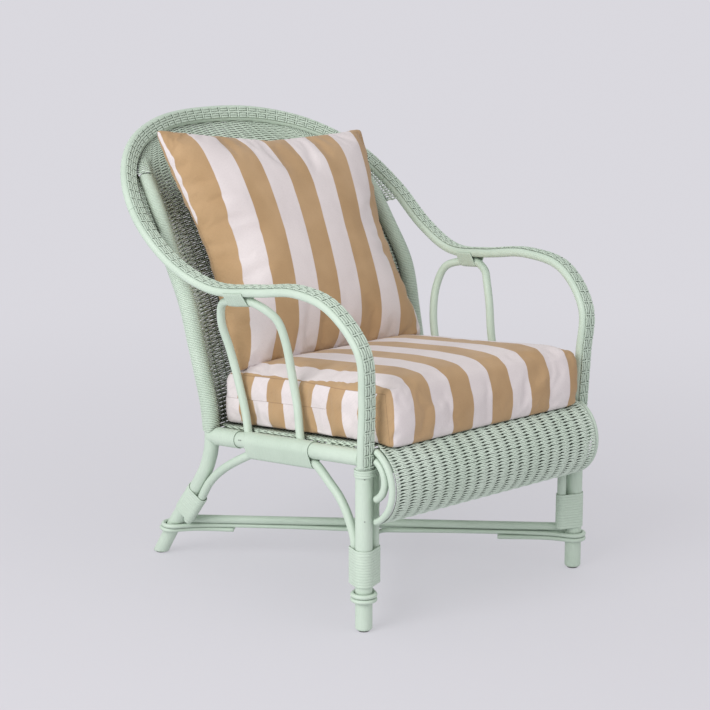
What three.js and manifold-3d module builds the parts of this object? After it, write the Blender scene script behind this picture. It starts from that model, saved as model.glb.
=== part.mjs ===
// Rattan armchair: painted poles and bindings, a woven back, seat and front roll, two loose cushions.
// Millimetres, +Z up, the sitter faces -Y, and the sitter's right hand is on the -X side.
// The chair is the same on both sides, so one side is made and the other is its mirror image.

import * as THREE from 'three';
import { mergeVertices } from 'three/addons/utils/BufferGeometryUtils.js';
import Module from 'manifold-3d';

const wasm = await Module();
wasm.setup();

// Clearances
const touchGap = 0.3; // between two pieces that touch
const bendGap = 1.2; // between two bent poles that run side by side
const bindingGap = 0.6; // between a binding and the poles inside it
const overrun = 30; // how far a cutting piece runs past what it cuts

// Front legs
const frontLegSpan = 542; // between the two centre lines
const frontLegRadius = 15.5;
const footGap = 3; // height of the glide under each foot

// Rear legs, each one bent pole from the foot to the top of the back post
const rearLegInset = 3; // how far inwards of the front legs' centre lines the rear ones stand
const rearLegSpan = frontLegSpan - 2 * rearLegInset;
const rearLegRadius = 14;
const seatFrameDepth = 438; // front leg centre line to rear leg centre line at the rail
const rearFootSpread = 171; // how far the rear foot stands behind its rail
const postFlare = 20; // how far the post swings outwards on the way up

// Seat frame
const railRadius = 15;
const railFrontHeight = 319.3; // centre of the side rail at the front leg
const railRearHeight = 272; // centre of the side rail at the rear leg
const crossRailRadius = 14;
const rearRailBow = 35; // how far the rear rail bows backwards
const rearRailDrop = 6; // of its centre, below the ends of the side rails
const bearerRadius = 9;
const deckThickness = 3.5;
const deckInset = 21.5; // from the front legs' centre lines to the woven seat's edges
const deckWidth = frontLegSpan - 2 * deckInset;

// Arm and back rim: two thin poles side by side under a plaited band
const rimPoleRadius = 8.5;
const rimOverhang = 52; // how far outwards of the front legs its centre is at its widest
const rimBehind = 364; // from the rear legs' centre line at the rail back to the rim's top
const rimHeight = 826; // centre of the rim at its top
const braidThickness = 3.2;
const braidTwist = THREE.MathUtils.degToRad(32); // turns the band towards the sitter over the back

// Back
const postBelowRim = 85; // from the rim's top down to the end of the back post
const postBeforeRim = 143; // from the rim's top forwards to the end of the back post
const postTop = rimHeight - postBelowRim;
const postLean = rimBehind - postBeforeRim; // how far the post leans back over its height
const panelThickness = 7;
const panelSetback = 7; // behind the centres of the rear rail and the posts
const panelHollow = 28; // how far the woven back is hollowed behind its four edges
const postWrapThickness = 2.7;

// Arm loops
const loopRadius = 7.8;

// Braces under the seat
const archRadius = 8.25;
const frontPostRadius = 8.5;
const frontPostInset = 29.5; // inwards from the front leg's centre line
const frontPostSetback = 5; // behind the front leg's centre line

// Front roll
const rollHeight = 268.7; // centre of the roll's arc
const rollSetback = 8; // of that centre, behind the front legs' centre line
const rollRadius = 70; // to the middle of its edge rods
const rollRodRadius = 6;
const rollThickness = 6;
const rollInset = 11; // from the front legs' centre lines to the middles of the two edge rods
const rollSpan = frontLegSpan - 2 * rollInset;
const bracketRadius = 7;
const bracketArcRadius = 38;
const bracketHeight = 281;
const bracketSetback = -5;

// Cross stretcher
const stretcherHeight = 81;
const stretcherRadius = 8;
const thinRodRadius = 4.2;
const thinRodOffset = 8; // sideways from the stretcher's centre line
const thinRodClearing = 30; // from the crossing to where a thin rod leaves one arm for the next
const hairpinReach = 115;

// Bindings
const bindingThickness = 1.8;

// Cushions
const seatCushionInset = 26; // from the front legs' centre lines to its sides
const seatCushionWidth = frontLegSpan - 2 * seatCushionInset;
const seatCushionFront = 46; // how far it stands in front of the front legs' centre line
const seatCushionPast = 2; // how far it reaches behind the rear legs' centre line at the rail
const seatCushionBack = seatFrameDepth + seatCushionPast;
const seatCushionEdge = 104; // thickness at the boxing
const seatCushionCrown = 13;
const backCushionInset = 31; // from the front legs' centre lines to its sides
const backCushionWidth = frontLegSpan - 2 * backCushionInset;
const backCushionHeight = 464;
const backCushionEdge = 7; // thickness left at the seam
const backCushionDepth = 164; // thickness at the middle
const backCushionTip = THREE.MathUtils.degToRad(2.17); // further back than the posts lean
const backCushionSkew = 22; // how far its head is pushed up on the sitter's right, and down on the left
const backCushionFootInset = 39.6; // from the rear legs' centre line forwards to its lower seam
const backCushionFootLift = 5.9; // of that seam, above the seat cushion's edge

// Finishes
const paintedRattan = new THREE.MeshStandardMaterial({ color: 0xcfe0cf, roughness: 0.55, metalness: 0 });
const paintedWeave = new THREE.MeshStandardMaterial({ color: 0xc2d6c4, roughness: 0.65, metalness: 0 });
const stripedFabric = new THREE.MeshStandardMaterial({ color: 0xc9ad88, roughness: 0.9, metalness: 0 });
const glidePlastic = new THREE.MeshStandardMaterial({ color: 0x4c4a46, roughness: 0.6, metalness: 0 });

const chair = new THREE.Group();

const vec = (x, y, z) => new THREE.Vector3(x, y, z);

// A path given by its points, with the direction of the section's first axis at each of them
class SampledPath extends THREE.Curve {
	constructor(points, sideways, ways = null) {
		super();
		this.points = points;
		this.sideways = sideways;
		this.ways = ways;
	}

	getSpacedPoints() {
		return this.points.map((point) => point.clone());
	}

	directions() {
		if (this.ways) return this.ways.map((way) => way.clone());
		const last = this.points.length - 1;
		return this.points.map((_, i) => {
			const next = this.points[Math.min(i + 1, last)];
			const previous = this.points[Math.max(i - 1, 0)];
			return next.clone().sub(previous).normalize();
		});
	}

	computeFrenetFrames() {
		const tangents = this.directions();
		let carried = null;
		const normals = tangents.map((tangent, i) => {
			const wanted = this.sideways ? this.sideways[Math.min(i, this.sideways.length - 1)] : carried;
			const start = wanted ?? firstSideways(tangent);
			const normal = start.clone().addScaledVector(tangent, -start.dot(tangent)).normalize();
			carried = normal;
			return normal;
		});
		const binormals = tangents.map((tangent, i) => tangent.clone().cross(normals[i]));
		return { tangents, normals, binormals };
	}
}

// Any direction square to a tangent
function firstSideways(tangent) {
	const axis = Math.abs(tangent.x) < Math.SQRT1_2 ? vec(1, 0, 0) : vec(0, 1, 0);
	return axis.addScaledVector(tangent, -axis.dot(tangent)).normalize();
}

// Only positions, with shared corners joined
function plain(geometry) {
	geometry.deleteAttribute('uv');
	geometry.deleteAttribute('normal');
	const merged = mergeVertices(geometry, 1e-4);
	merged.computeVertexNormals();
	return merged;
}

function extrudeAlong(shape, points, sideways, ways = null) {
	const path = new SampledPath(points, sideways, ways);
	const options = { steps: points.length - 1, extrudePath: path, bevelEnabled: false };
	return plain(new THREE.ExtrudeGeometry(shape, options));
}

// A ring of points round a centre, starting half a side round
function circlePoints(radius, sides, centre = new THREE.Vector2()) {
	const points = [];
	for (let i = 0; i < sides; i += 1) {
		const angle = ((i + 0.5) / sides) * Math.PI * 2;
		points.push(new THREE.Vector2(Math.cos(angle), Math.sin(angle)).multiplyScalar(radius).add(centre));
	}
	return points;
}

function pole(points, radius, sides = 10, sideways = null, centre = undefined) {
	return extrudeAlong(new THREE.Shape(circlePoints(radius, sides, centre)), points, sideways);
}

function curvePoints(corners, steps) {
	return new THREE.CatmullRomCurve3(corners, false, 'centripetal').getSpacedPoints(steps);
}

// A bent pole's path: straight runs, each corner rounded to a radius in a few steps
function bentPath(corners, radius, steps = 5) {
	const points = [corners[0]];
	for (let i = 1; i < corners.length - 1; i += 1) {
		const back = corners[i - 1].clone().sub(corners[i]);
		const ahead = corners[i + 1].clone().sub(corners[i]);
		const half = back.angleTo(ahead) / 2;
		const room = Math.min(back.length(), ahead.length()) / 2;
		const reach = Math.min(radius / Math.tan(half), room);
		const start = corners[i].clone().addScaledVector(back.normalize(), reach);
		const end = corners[i].clone().addScaledVector(ahead.normalize(), reach);
		const bend = new THREE.QuadraticBezierCurve3(start, corners[i], end);
		points.push(...bend.getPoints(steps));
	}
	points.push(corners[corners.length - 1]);
	return points;
}

// Points on an arc in the plane of y and z
function sideArc(x, centreY, centreZ, radius, from, to, steps) {
	const points = [];
	for (let i = 0; i <= steps; i += 1) {
		const angle = from + ((to - from) * i) / steps;
		points.push(vec(x, centreY + radius * Math.cos(angle), centreZ + radius * Math.sin(angle)));
	}
	return points;
}

// The convex outline round some circles
function outlineRound(circles, margin, count = 16) {
	const points = [];
	for (let i = 0; i < count; i += 1) {
		const angle = (i / count) * Math.PI * 2;
		const way = new THREE.Vector2(Math.cos(angle), Math.sin(angle));
		const reach = (circle) => circle.x * way.x + circle.y * way.y + circle.r;
		const farthest = circles.reduce((a, b) => (reach(b) > reach(a) ? b : a));
		const centre = new THREE.Vector2(farthest.x, farthest.y);
		points.push(centre.addScaledVector(way, farthest.r + margin));
	}
	return points;
}

// A binding: a sleeve round the circles, along a path
function binding(circles, points, sideways, thickness = bindingThickness) {
	const shape = new THREE.Shape(outlineRound(circles, bindingGap + thickness));
	shape.holes.push(new THREE.Path(outlineRound(circles, bindingGap)));
	return extrudeAlong(shape, points, sideways);
}

function mirrored(geometry) {
	const copy = geometry.clone();
	copy.scale(-1, 1, 1);
	const index = copy.getIndex();
	for (let i = 0; i < index.count; i += 3) {
		const second = index.getX(i + 1);
		index.setX(i + 1, index.getX(i + 2));
		index.setX(i + 2, second);
	}
	copy.computeVertexNormals();
	return copy;
}

function toSolid(geometry) {
	const merged = plain(geometry.clone());
	const vertProperties = new Float32Array(merged.getAttribute('position').array);
	const triVerts = new Uint32Array(merged.getIndex().array);
	return new wasm.Manifold(new wasm.Mesh({ numProp: 3, vertProperties, triVerts }));
}

function fromSolid(solid) {
	const mesh = solid.getMesh();
	const geometry = new THREE.BufferGeometry();
	geometry.setAttribute('position', new THREE.BufferAttribute(new Float32Array(mesh.vertProperties), 3));
	geometry.setIndex(new THREE.BufferAttribute(new Uint32Array(mesh.triVerts), 1));
	geometry.computeVertexNormals();
	return geometry;
}

function cutBy(geometry, tools) {
	const cut = tools.reduce((solid, tool) => solid.subtract(toSolid(tool)), toSolid(geometry));
	return fromSolid(cut);
}

function addPiece(name, geometry, material) {
	const mesh = new THREE.Mesh(geometry, material);
	mesh.name = name;
	chair.add(mesh);
	return mesh;
}

// The right-hand piece is made, the left-hand one is its mirror image
function addPair(name, geometry, material) {
	addPiece(`${name}_right`, geometry, material);
	addPiece(`${name}_left`, mirrored(geometry), material);
}

// The right-hand side rail's centre line, which falls and comes a little inwards towards the back
const frontLegX = -frontLegSpan / 2;
const rearLegX = -rearLegSpan / 2;
const railSlope = (railRearHeight - railFrontHeight) / seatFrameDepth;
const railSlant = Math.cos(Math.atan(railSlope));
const railHeightAt = (y) => railFrontHeight + railSlope * y;
const railTopAt = (y) => railHeightAt(y) + railRadius / railSlant;
const railPoint = (y) => {
	const x = THREE.MathUtils.lerp(frontLegX, rearLegX, y / seatFrameDepth);
	return vec(x, y, railHeightAt(y));
};
const frontLegTop = railHeightAt(frontLegRadius) - railRadius / railSlant - touchGap;

// Front legs
const frontLegLine = [vec(frontLegX, 0, footGap), vec(frontLegX, 0, frontLegTop)];
addPair('front_leg', pole(frontLegLine, frontLegRadius, 14), paintedRattan);

// Rear legs: shares of the foot's spread and of the rail's height below the rail, and of the post's
// lean, flare and rise above it
const rearLegShares = [
	{ spread: 1.06, height: -0.05 },
	{ spread: 1, height: 0 },
	{ spread: 0.72, height: 0.25 },
	{ spread: 0.51, height: 0.415 },
	{ spread: 0.24, height: 0.625 },
	{ spread: 0.09, height: 0.77 },
	{ spread: 0.015, height: 0.9 },
];
const backPostShares = [
	{ flare: 0, lean: 0, rise: 0 },
	{ flare: 0.1, lean: 0.004, rise: 0.07 },
	{ flare: 0.2, lean: 0.023, rise: 0.147 },
	{ flare: 0.45, lean: 0.131, rise: 0.348 },
	{ flare: 0.65, lean: 0.253, rise: 0.544 },
	{ flare: 0.5, lean: 0.462, rise: 0.7 },
	{ flare: 0.05, lean: 0.72, rise: 0.876 },
	{ flare: -0.88, lean: 1, rise: 1 },
];
const postRise = postTop - railRearHeight;
const rearLegCorners = rearLegShares.map(({ spread, height }) =>
	vec(rearLegX, seatFrameDepth + rearFootSpread * spread, railRearHeight * height));
const backPostCorners = backPostShares.map(({ flare, lean, rise }) =>
	vec(rearLegX - postFlare * flare, seatFrameDepth + postLean * lean, railRearHeight + postRise * rise));
const rearPoleCorners = [...rearLegCorners, ...backPostCorners];
const rearLegCurve = new THREE.CatmullRomCurve3(rearPoleCorners, false, 'centripetal');
const rearLegPoints = rearLegCurve.getSpacedPoints(26);
const inwards = [vec(1, 0, 0)];
function rearLegPole(extra) {
	const whole = pole(rearLegPoints, rearLegRadius + extra, 10, inwards);
	const floorBlock = new THREE.BoxGeometry(rearLegSpan, rearLegSpan, overrun * 2);
	floorBlock.translate(rearLegX, seatFrameDepth + rearFootSpread, footGap - overrun - extra);
	return cutBy(whole, [floorBlock]);
}
const rearLeg = rearLegPole(0);
const rearLegClear = rearLegPole(touchGap);
addPair('rear_leg', rearLeg, paintedRattan);

// The rear leg's centre line at a height, which rises all the way to the top of the post
function rearLegAt(height) {
	let low = 0;
	let high = 1;
	for (let i = 0; i < 30; i += 1) {
		const middle = (low + high) / 2;
		if (rearLegCurve.getPointAt(middle).z < height) low = middle;
		else high = middle;
	}
	return { point: rearLegCurve.getPointAt(low), way: rearLegCurve.getTangentAt(low) };
}

// Glides under the feet
const glideRadius = 10.5;
function glideAt(x, y) {
	const glide = new THREE.CylinderGeometry(glideRadius, glideRadius, footGap - touchGap, 12);
	glide.rotateX(Math.PI / 2);
	glide.translate(x, y, (footGap - touchGap) / 2);
	return plain(glide);
}
addPair('front_glide', glideAt(frontLegX, 0), glidePlastic);
addPair('rear_glide', glideAt(rearLegX, rearLegAt(footGap).point.y), glidePlastic);

// Side rails rest on the front legs' tops and meet the rear legs
const rimFootY = -5; // of the rim's foot, in front of the front legs' centre line
const railFrontEnd = rimFootY + rimPoleRadius + 4 * touchGap;
const sideRail = pole([railPoint(railFrontEnd), railPoint(seatFrameDepth)], railRadius, 12);
const railClear = pole([railPoint(0), railPoint(seatFrameDepth)], railRadius + touchGap, 12);
addPair('side_rail', cutBy(sideRail, [rearLegClear]), paintedRattan);

// Front rail between the feet of the rim, rear rail bowed between the rear legs
const rimPoleOffset = rimPoleRadius + touchGap / 2;
const braidInner = rimPoleRadius + 2 * touchGap;
const braidOuter = braidInner + braidThickness;
const rimFace = rimFootY - braidOuter - touchGap; // the plane in front of the rim's feet
const frontRailY = rimFace + crossRailRadius;
const frontRailEnd = -frontLegX - rimPoleOffset - braidOuter - touchGap;
const frontRailLine = [-1, 1].map((side) => vec(side * frontRailEnd, frontRailY, railFrontHeight));
addPiece('front_rail', pole(frontRailLine, crossRailRadius, 12), paintedRattan);

const rearRailHeight = railRearHeight - rearRailDrop;
const rearRailCurve = new THREE.QuadraticBezierCurve3(
	vec(rearLegX, seatFrameDepth, rearRailHeight),
	vec(0, seatFrameDepth + 2 * rearRailBow, rearRailHeight),
	vec(-rearLegX, seatFrameDepth, rearRailHeight),
);
const rearRail = pole(rearRailCurve.getPoints(8), crossRailRadius, 10);
const sideCutters = [rearLegClear, mirrored(rearLegClear), railClear, mirrored(railClear)];
addPiece('rear_rail', cutBy(rearRail, sideCutters), paintedRattan);

// Two bearers under the woven seat, between the side rails
const bearerDepthShares = { front: 0.26, rear: 0.735 };
for (const [place, share] of Object.entries(bearerDepthShares)) {
	const y = seatFrameDepth * share;
	const bearerEnd = -railPoint(y).x - railRadius - touchGap;
	const z = railTopAt(y) - bearerRadius;
	const line = [vec(-bearerEnd, y, z), vec(bearerEnd, y, z)];
	addPiece(`seat_bearer_${place}`, pole(line, bearerRadius, 8), paintedRattan);
}

// Woven seat over the rails, its back edge bowed like the rear rail
const panelHalf = panelThickness / 2;
const deckBack = seatFrameDepth + panelSetback - panelHalf - 2 * touchGap;
const deckShape = new THREE.Shape();
const deckHalf = deckWidth / 2;
const deckFront = frontRailY + touchGap;
const deckTilt = Math.atan(railSlope);
deckShape.moveTo(-deckHalf, deckFront);
deckShape.lineTo(deckHalf, deckFront);
deckShape.lineTo(deckHalf, deckBack);
deckShape.quadraticCurveTo(0, deckBack + 2 * rearRailBow, -deckHalf, deckBack);
const deckOptions = { depth: deckThickness, bevelEnabled: false, curveSegments: 10 };
const deck = plain(new THREE.ExtrudeGeometry(deckShape, deckOptions));
deck.rotateX(deckTilt);
deck.translate(0, 0, railTopAt(0) + 2 * touchGap);
addPiece('seat_weave', deck, paintedWeave);

// Front posts stand beside the front legs, under the front rail
const frontPostX = frontLegX + frontPostInset;
const frontPostTop = railFrontHeight - crossRailRadius - touchGap;
const archFoot = stretcherHeight + stretcherRadius + 5 * touchGap;
const frontPostLine = [archFoot, frontPostTop].map((z) => vec(frontPostX, frontPostSetback, z));
addPair('front_post', pole(frontPostLine, frontPostRadius, 10), paintedRattan);

// Side arches: up from the rear leg, along under the side rail and down the front leg
const archBelowRail = railRadius + archRadius + bendGap;
const archBehindLeg = frontLegRadius + archRadius + bendGap;
const archBesideRearLeg = rearLegRadius + archRadius + bendGap;
function archBesideRearLegAt(height) {
	const { point, way } = rearLegAt(height);
	const across = vec(0, -way.z, way.y).normalize();
	return point.clone().addScaledVector(across, archBesideRearLeg);
}
const archRearHeightShares = [0.36, 0.45, 0.54];
// Shares of the seat frame's depth and of the height of the arch's run under the rail
const archBendShares = [
	{ depth: 1.018, height: 0.7208 },
	{ depth: 0.925, height: 0.8431 },
	{ depth: 0.8, height: 0.9472 },
];
const archRunShares = [0.705, 0.67, 0.5, 0.34, 0.305];
const archFrontShares = [
	{ depth: 0.21, height: 0.8915 },
	{ depth: 0.148, height: 0.8089 },
	{ depth: 0.098, height: 0.7033 },
];
const archLegShares = [0.535, 0.4];
const underRail = (share) => railPoint(seatFrameDepth * share).add(vec(0, 0, -archBelowRail / railSlant));
const archPoint = ({ depth, height }) => {
	const point = underRail(depth);
	return point.setZ(point.z * height);
};
const archCorners = [
	...archRearHeightShares.map((share) => archBesideRearLegAt(railRearHeight * share)),
	...archBendShares.map(archPoint),
	...archRunShares.map(underRail),
	...archFrontShares.map(archPoint),
	...archLegShares.map((share) => vec(frontLegX, archBehindLeg, frontLegTop * share)),
	vec(frontLegX, archBehindLeg, archFoot),
];
addPair('side_arch', pole(curvePoints(archCorners, 26), archRadius, 8), paintedRattan);

// Front roll: two edge rods bent to an arc, a smaller bracket inside each, and the woven shell between
const rollX = -rollSpan / 2;
const rollFace = rimFace - touchGap; // the front rail and the rim's feet stand behind it
function arcEnds(setback, radius, faceY) {
	const rise = Math.acos((faceY - setback) / radius);
	return { top: rise, bottom: Math.PI * 2 - rise };
}
const rodEnds = arcEnds(rollSetback, rollRadius, rollFace - rollRodRadius / 2);
const rollRod = pole(
	sideArc(rollX, rollSetback, rollHeight, rollRadius, rodEnds.top, rodEnds.bottom, 12),
	rollRodRadius, 8,
);
addPair('roll_edge_rod', rollRod, paintedRattan);

const bracketEnds = arcEnds(bracketSetback, bracketArcRadius, rollFace - bracketRadius / 2);
const bracket = pole(
	sideArc(rollX, bracketSetback, bracketHeight, bracketArcRadius, bracketEnds.top, bracketEnds.bottom, 10),
	bracketRadius, 8,
);
addPair('roll_bracket', bracket, paintedRattan);

const rollShape = new THREE.Shape();
const shellOuter = rollRadius + rollRodRadius;
const shellTop = Math.acos((rollFace - rollSetback) / shellOuter);
const lipBack = frontRailY - touchGap; // its upper edge lies on the front rail
const lipBottom = railFrontHeight + crossRailRadius + touchGap;
rollShape.moveTo(lipBack, lipBottom + rollThickness - 2 * touchGap);
rollShape.absarc(rollSetback, rollHeight, shellOuter, shellTop, Math.PI * 2 - shellTop, false);
rollShape.absarc(rollSetback, rollHeight, shellOuter - rollThickness, Math.PI * 2 - shellTop, shellTop, true);
rollShape.lineTo(lipBack, lipBottom);
rollShape.closePath();
const shellLength = rollSpan - 2 * rollRodRadius - 2 * touchGap;
const rollOptions = { depth: shellLength, bevelEnabled: false, curveSegments: 16 };
const rollShell = new THREE.ExtrudeGeometry(rollShape, rollOptions);
// The shape's first axis becomes y and its second z
const toSideView = new THREE.Matrix4().makeBasis(vec(0, 1, 0), vec(0, 0, 1), vec(1, 0, 0));
rollShell.applyMatrix4(toSideView);
rollShell.translate(-shellLength / 2, 0, 0);
const rimFootClear = new THREE.BoxGeometry(overrun, overrun, overrun * 2);
rimFootClear.translate(-frontRailEnd - overrun / 2, rimFace + overrun / 2, railTopAt(0));
addPiece('front_roll_weave', cutBy(plain(rollShell), [rimFootClear, mirrored(rimFootClear)]), paintedWeave);

// Rim, from the front leg over the arm to the back's top: shares of the front legs' half span and of
// the rim's overhang, of the rim's height, and of the seat frame's depth up to 1 and what lies behind it
const rimShares = [
	{ span: 1, out: 0.025, back: rimFootY / seatFrameDepth, up: (frontLegTop + 4 * touchGap) / rimHeight },
	{ span: 1, out: 0.05, back: -0.0165, up: 0.422 },
	{ span: 1, out: 0.074, back: -0.0256, up: 0.52 },
	{ span: 1, out: 0.211, back: -0.0201, up: 0.62 },
	{ span: 1, out: 0.391, back: 0.13, up: 0.701 },
	{ span: 1, out: 0.36, back: 0.3479, up: 0.72 },
	{ span: 1, out: 0.36, back: 0.6079, up: 0.701 },
	{ span: 1, out: 0.652, back: 0.8624, up: 0.691 },
	{ span: 1, out: 0.957, back: 1.1099, up: 0.733 },
	{ span: 1, out: 1.025, back: 1.3699, up: 0.815 },
	{ span: 1, out: 0.428, back: 1.5924, up: 0.896 },
	{ span: 0.8165, out: 0, back: 1.7973, up: 0.959 },
	{ span: 0.4314, out: 0, back: 1.9405, up: 0.993 },
	{ span: 0, out: 0, back: 2, up: 1 },
];
const rimRight = rimShares.map(({ span, out, back, up }) => {
	const y = seatFrameDepth * Math.min(back, 1) + rimBehind * Math.max(back - 1, 0);
	return vec(frontLegX * span - rimOverhang * out, y, rimHeight * up);
});
const rimLeft = rimRight.slice(0, -1).reverse().map((point) => vec(-point.x, point.y, point.z));
const rimCurve = new THREE.CatmullRomCurve3([...rimRight, ...rimLeft], false, 'centripetal');
const rimSteps = 72; // samples along the whole rim, an even number
const rimPoints = rimCurve.getSpacedPoints(rimSteps);
rimPoints[0].copy(rimRight[0]);

// The rim's sideways direction points out of the chair: it is carried along without turning, then
// the band is turned a little towards the sitter over the back
const rimWays = new SampledPath(rimPoints, null).directions();
function rimSideways() {
	let carried = vec(-1, 0, 0);
	const right = rimWays.slice(0, rimSteps / 2 + 1).map((way, i) => {
		carried = carried.clone().addScaledVector(way, -carried.dot(way)).normalize();
		const share = THREE.MathUtils.smoothstep(i / (rimSteps / 2), 0.5, 1);
		return carried.clone().applyAxisAngle(way, braidTwist * share);
	});
	const left = right.slice(0, -1).reverse().map((side) => vec(-side.x, side.y, side.z));
	return [...right, ...left];
}
const rimSides = rimSideways();

// The plaited band's section: a strip round the outer side of both poles
function braidShape() {
	const anglesShares = [0.36, 0.16, 0]; // of half a turn, from the middle of each pole's crown outwards
	const at = (side, share, radius) => {
		const angle = Math.PI * share;
		return new THREE.Vector2(side * (rimPoleOffset + radius * Math.sin(angle)), radius * Math.cos(angle));
	};
	const outline = [];
	for (const share of anglesShares) outline.push(at(1, share, braidOuter));
	for (const share of anglesShares.toReversed()) outline.push(at(-1, share, braidOuter));
	for (const share of anglesShares) outline.push(at(-1, share, braidInner));
	for (const share of anglesShares.toReversed()) outline.push(at(1, share, braidInner));
	return new THREE.Shape(outline);
}

// Each line of the rim is a right arm, a hoop round the back and a left arm, end to end
const armSteps = 24;
const rimPiece = (shape, from, to) => {
	const points = rimPoints.slice(from, to + 1).map((point) => point.clone());
	const ways = rimWays.slice(from, to + 1);
	if (from > 0) points[0].addScaledVector(ways[0], touchGap / 2);
	if (to < rimSteps) points[points.length - 1].addScaledVector(ways[ways.length - 1], -touchGap / 2);
	return extrudeAlong(shape, points, rimSides.slice(from, to + 1), ways);
};
function addRimLine(armName, hoopName, shape, material) {
	const arm = rimPiece(shape, 0, armSteps);
	addPair(armName, arm, material);
	addPiece(hoopName, rimPiece(shape, armSteps, rimSteps - armSteps), material);
}
const outerPole = new THREE.Shape(circlePoints(rimPoleRadius, 8, new THREE.Vector2(rimPoleOffset, 0)));
const innerPole = new THREE.Shape(circlePoints(rimPoleRadius, 8, new THREE.Vector2(-rimPoleOffset, 0)));
addRimLine('outer_arm_pole', 'outer_back_hoop', outerPole, paintedRattan);
addRimLine('inner_arm_pole', 'inner_back_hoop', innerPole, paintedRattan);
addRimLine('arm_braid', 'back_braid', braidShape(), paintedWeave);

// Back posts' woven sleeves, from the rear rail to the rim
const panelFoot = rearRailHeight + crossRailRadius + 2 * touchGap;
const postWrapBottom = railTopAt(seatFrameDepth) + touchGap;
const postWrapTop = postTop - rearLegRadius;
const postWrapPoints = rearLegPoints.filter(({ z }) => z > postWrapBottom && z < postWrapTop);
const postCircle = [{ x: 0, y: 0, r: rearLegRadius + touchGap }];
const postWrap = binding(postCircle, postWrapPoints, inwards, postWrapThickness - bindingGap);
addPair('post_weave', postWrap, paintedWeave);

// Woven back: a patch between the rear rail, the two posts and the rim
const panelInset = rearLegRadius + postWrapThickness + 2 * bendGap;
const panelEdgeShift = vec(panelInset, panelSetback, 0);
const panelCorner = vec(rearLegX, seatFrameDepth, panelFoot).add(panelEdgeShift);
const panelSideCorners = [
	panelCorner,
	...backPostCorners.slice(2).map((point) => point.clone().add(panelEdgeShift)),
];
const panelRimFrom = 31; // the rim's sample where the panel leaves the post
const rimInset = rimPoleOffset + rimPoleRadius + bendGap;
const rimInner = (i) => rimPoints[i].clone().addScaledVector(rimSides[i], -rimInset);
panelSideCorners.push(rimInner(panelRimFrom));
const panelSide = new THREE.CatmullRomCurve3(panelSideCorners, false, 'centripetal');
const panelTop = new THREE.CatmullRomCurve3(
	Array.from({ length: rimSteps - 2 * panelRimFrom + 1 }, (_, i) => rimInner(panelRimFrom + i)),
	false, 'centripetal',
);
const panelBottom = new THREE.QuadraticBezierCurve3(
	panelCorner,
	vec(0, panelCorner.y + 2 * rearRailBow, panelFoot),
	vec(-panelCorner.x, panelCorner.y, panelFoot),
);
function panelPoint(u, v) {
	const right = panelSide.getPointAt(v);
	const left = vec(-right.x, right.y, right.z);
	const across = right.multiplyScalar(1 - u).addScaledVector(left, u);
	const bottom = panelBottom.getPoint(u).multiplyScalar(1 - v);
	const up = bottom.addScaledVector(panelTop.getPointAt(u), v);
	const corners = panelBottom.getPoint(0).multiplyScalar((1 - u) * (1 - v));
	corners.addScaledVector(panelBottom.getPoint(1), u * (1 - v));
	corners.addScaledVector(panelTop.getPointAt(0), (1 - u) * v);
	corners.addScaledVector(panelTop.getPointAt(1), u * v);
	const hollow = panelHollow * Math.sin(Math.PI * u) * Math.sin(Math.PI * v);
	return across.add(up).sub(corners).add(vec(0, hollow, 0));
}

// A sheet of even thickness on a surface, closed at its edges
function thickSheet(surface, across, up, thickness) {
	const positions = [];
	const step = 1e-3;
	const clampShare = (value) => Math.min(Math.max(value, 0), 1);
	for (const side of [1, -1]) {
		for (let j = 0; j <= up; j += 1) {
			for (let i = 0; i <= across; i += 1) {
				const u = i / across;
				const v = j / up;
				const alongU = surface(clampShare(u + step), v).sub(surface(clampShare(u - step), v));
				const alongV = surface(u, clampShare(v + step)).sub(surface(u, clampShare(v - step)));
				const normal = alongU.cross(alongV).normalize();
				const point = surface(u, v).addScaledVector(normal, (side * thickness) / 2);
				positions.push(point.x, point.y, point.z);
			}
		}
	}
	const row = across + 1;
	const sheet = row * (up + 1);
	const index = [];
	const quad = (a, b, c, d) => index.push(a, b, c, a, c, d);
	for (let j = 0; j < up; j += 1) {
		for (let i = 0; i < across; i += 1) {
			const a = j * row + i;
			quad(a, a + 1, a + row + 1, a + row);
			quad(sheet + a, sheet + a + row, sheet + a + row + 1, sheet + a + 1);
		}
	}
	for (let i = 0; i < across; i += 1) {
		const top = up * row + i;
		quad(i, sheet + i, sheet + i + 1, i + 1);
		quad(top + 1, sheet + top + 1, sheet + top, top);
	}
	for (let j = 0; j < up; j += 1) {
		const a = j * row;
		const b = a + across;
		quad(a + row, sheet + a + row, sheet + a, a);
		quad(b, sheet + b, sheet + b + row, b + row);
	}
	const geometry = new THREE.BufferGeometry();
	geometry.setAttribute('position', new THREE.Float32BufferAttribute(positions, 3));
	geometry.setIndex(index);
	geometry.computeVertexNormals();
	return geometry;
}
const hoopCircles = [-1, 1].map((side) => ({ x: side * rimPoleOffset, y: 0, r: braidOuter }));
const hoopRange = [armSteps, rimSteps - armSteps + 1];
const hoopClear = extrudeAlong(
	new THREE.Shape(outlineRound(hoopCircles, touchGap)),
	rimPoints.slice(...hoopRange), rimSides.slice(...hoopRange), rimWays.slice(...hoopRange),
);
const panelCells = { across: 18, up: 10 };
const panelSheet = thickSheet(panelPoint, panelCells.across, panelCells.up, panelThickness);
const panel = cutBy(panelSheet, [hoopClear]);
addPiece('back_weave', panel, paintedWeave);

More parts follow.
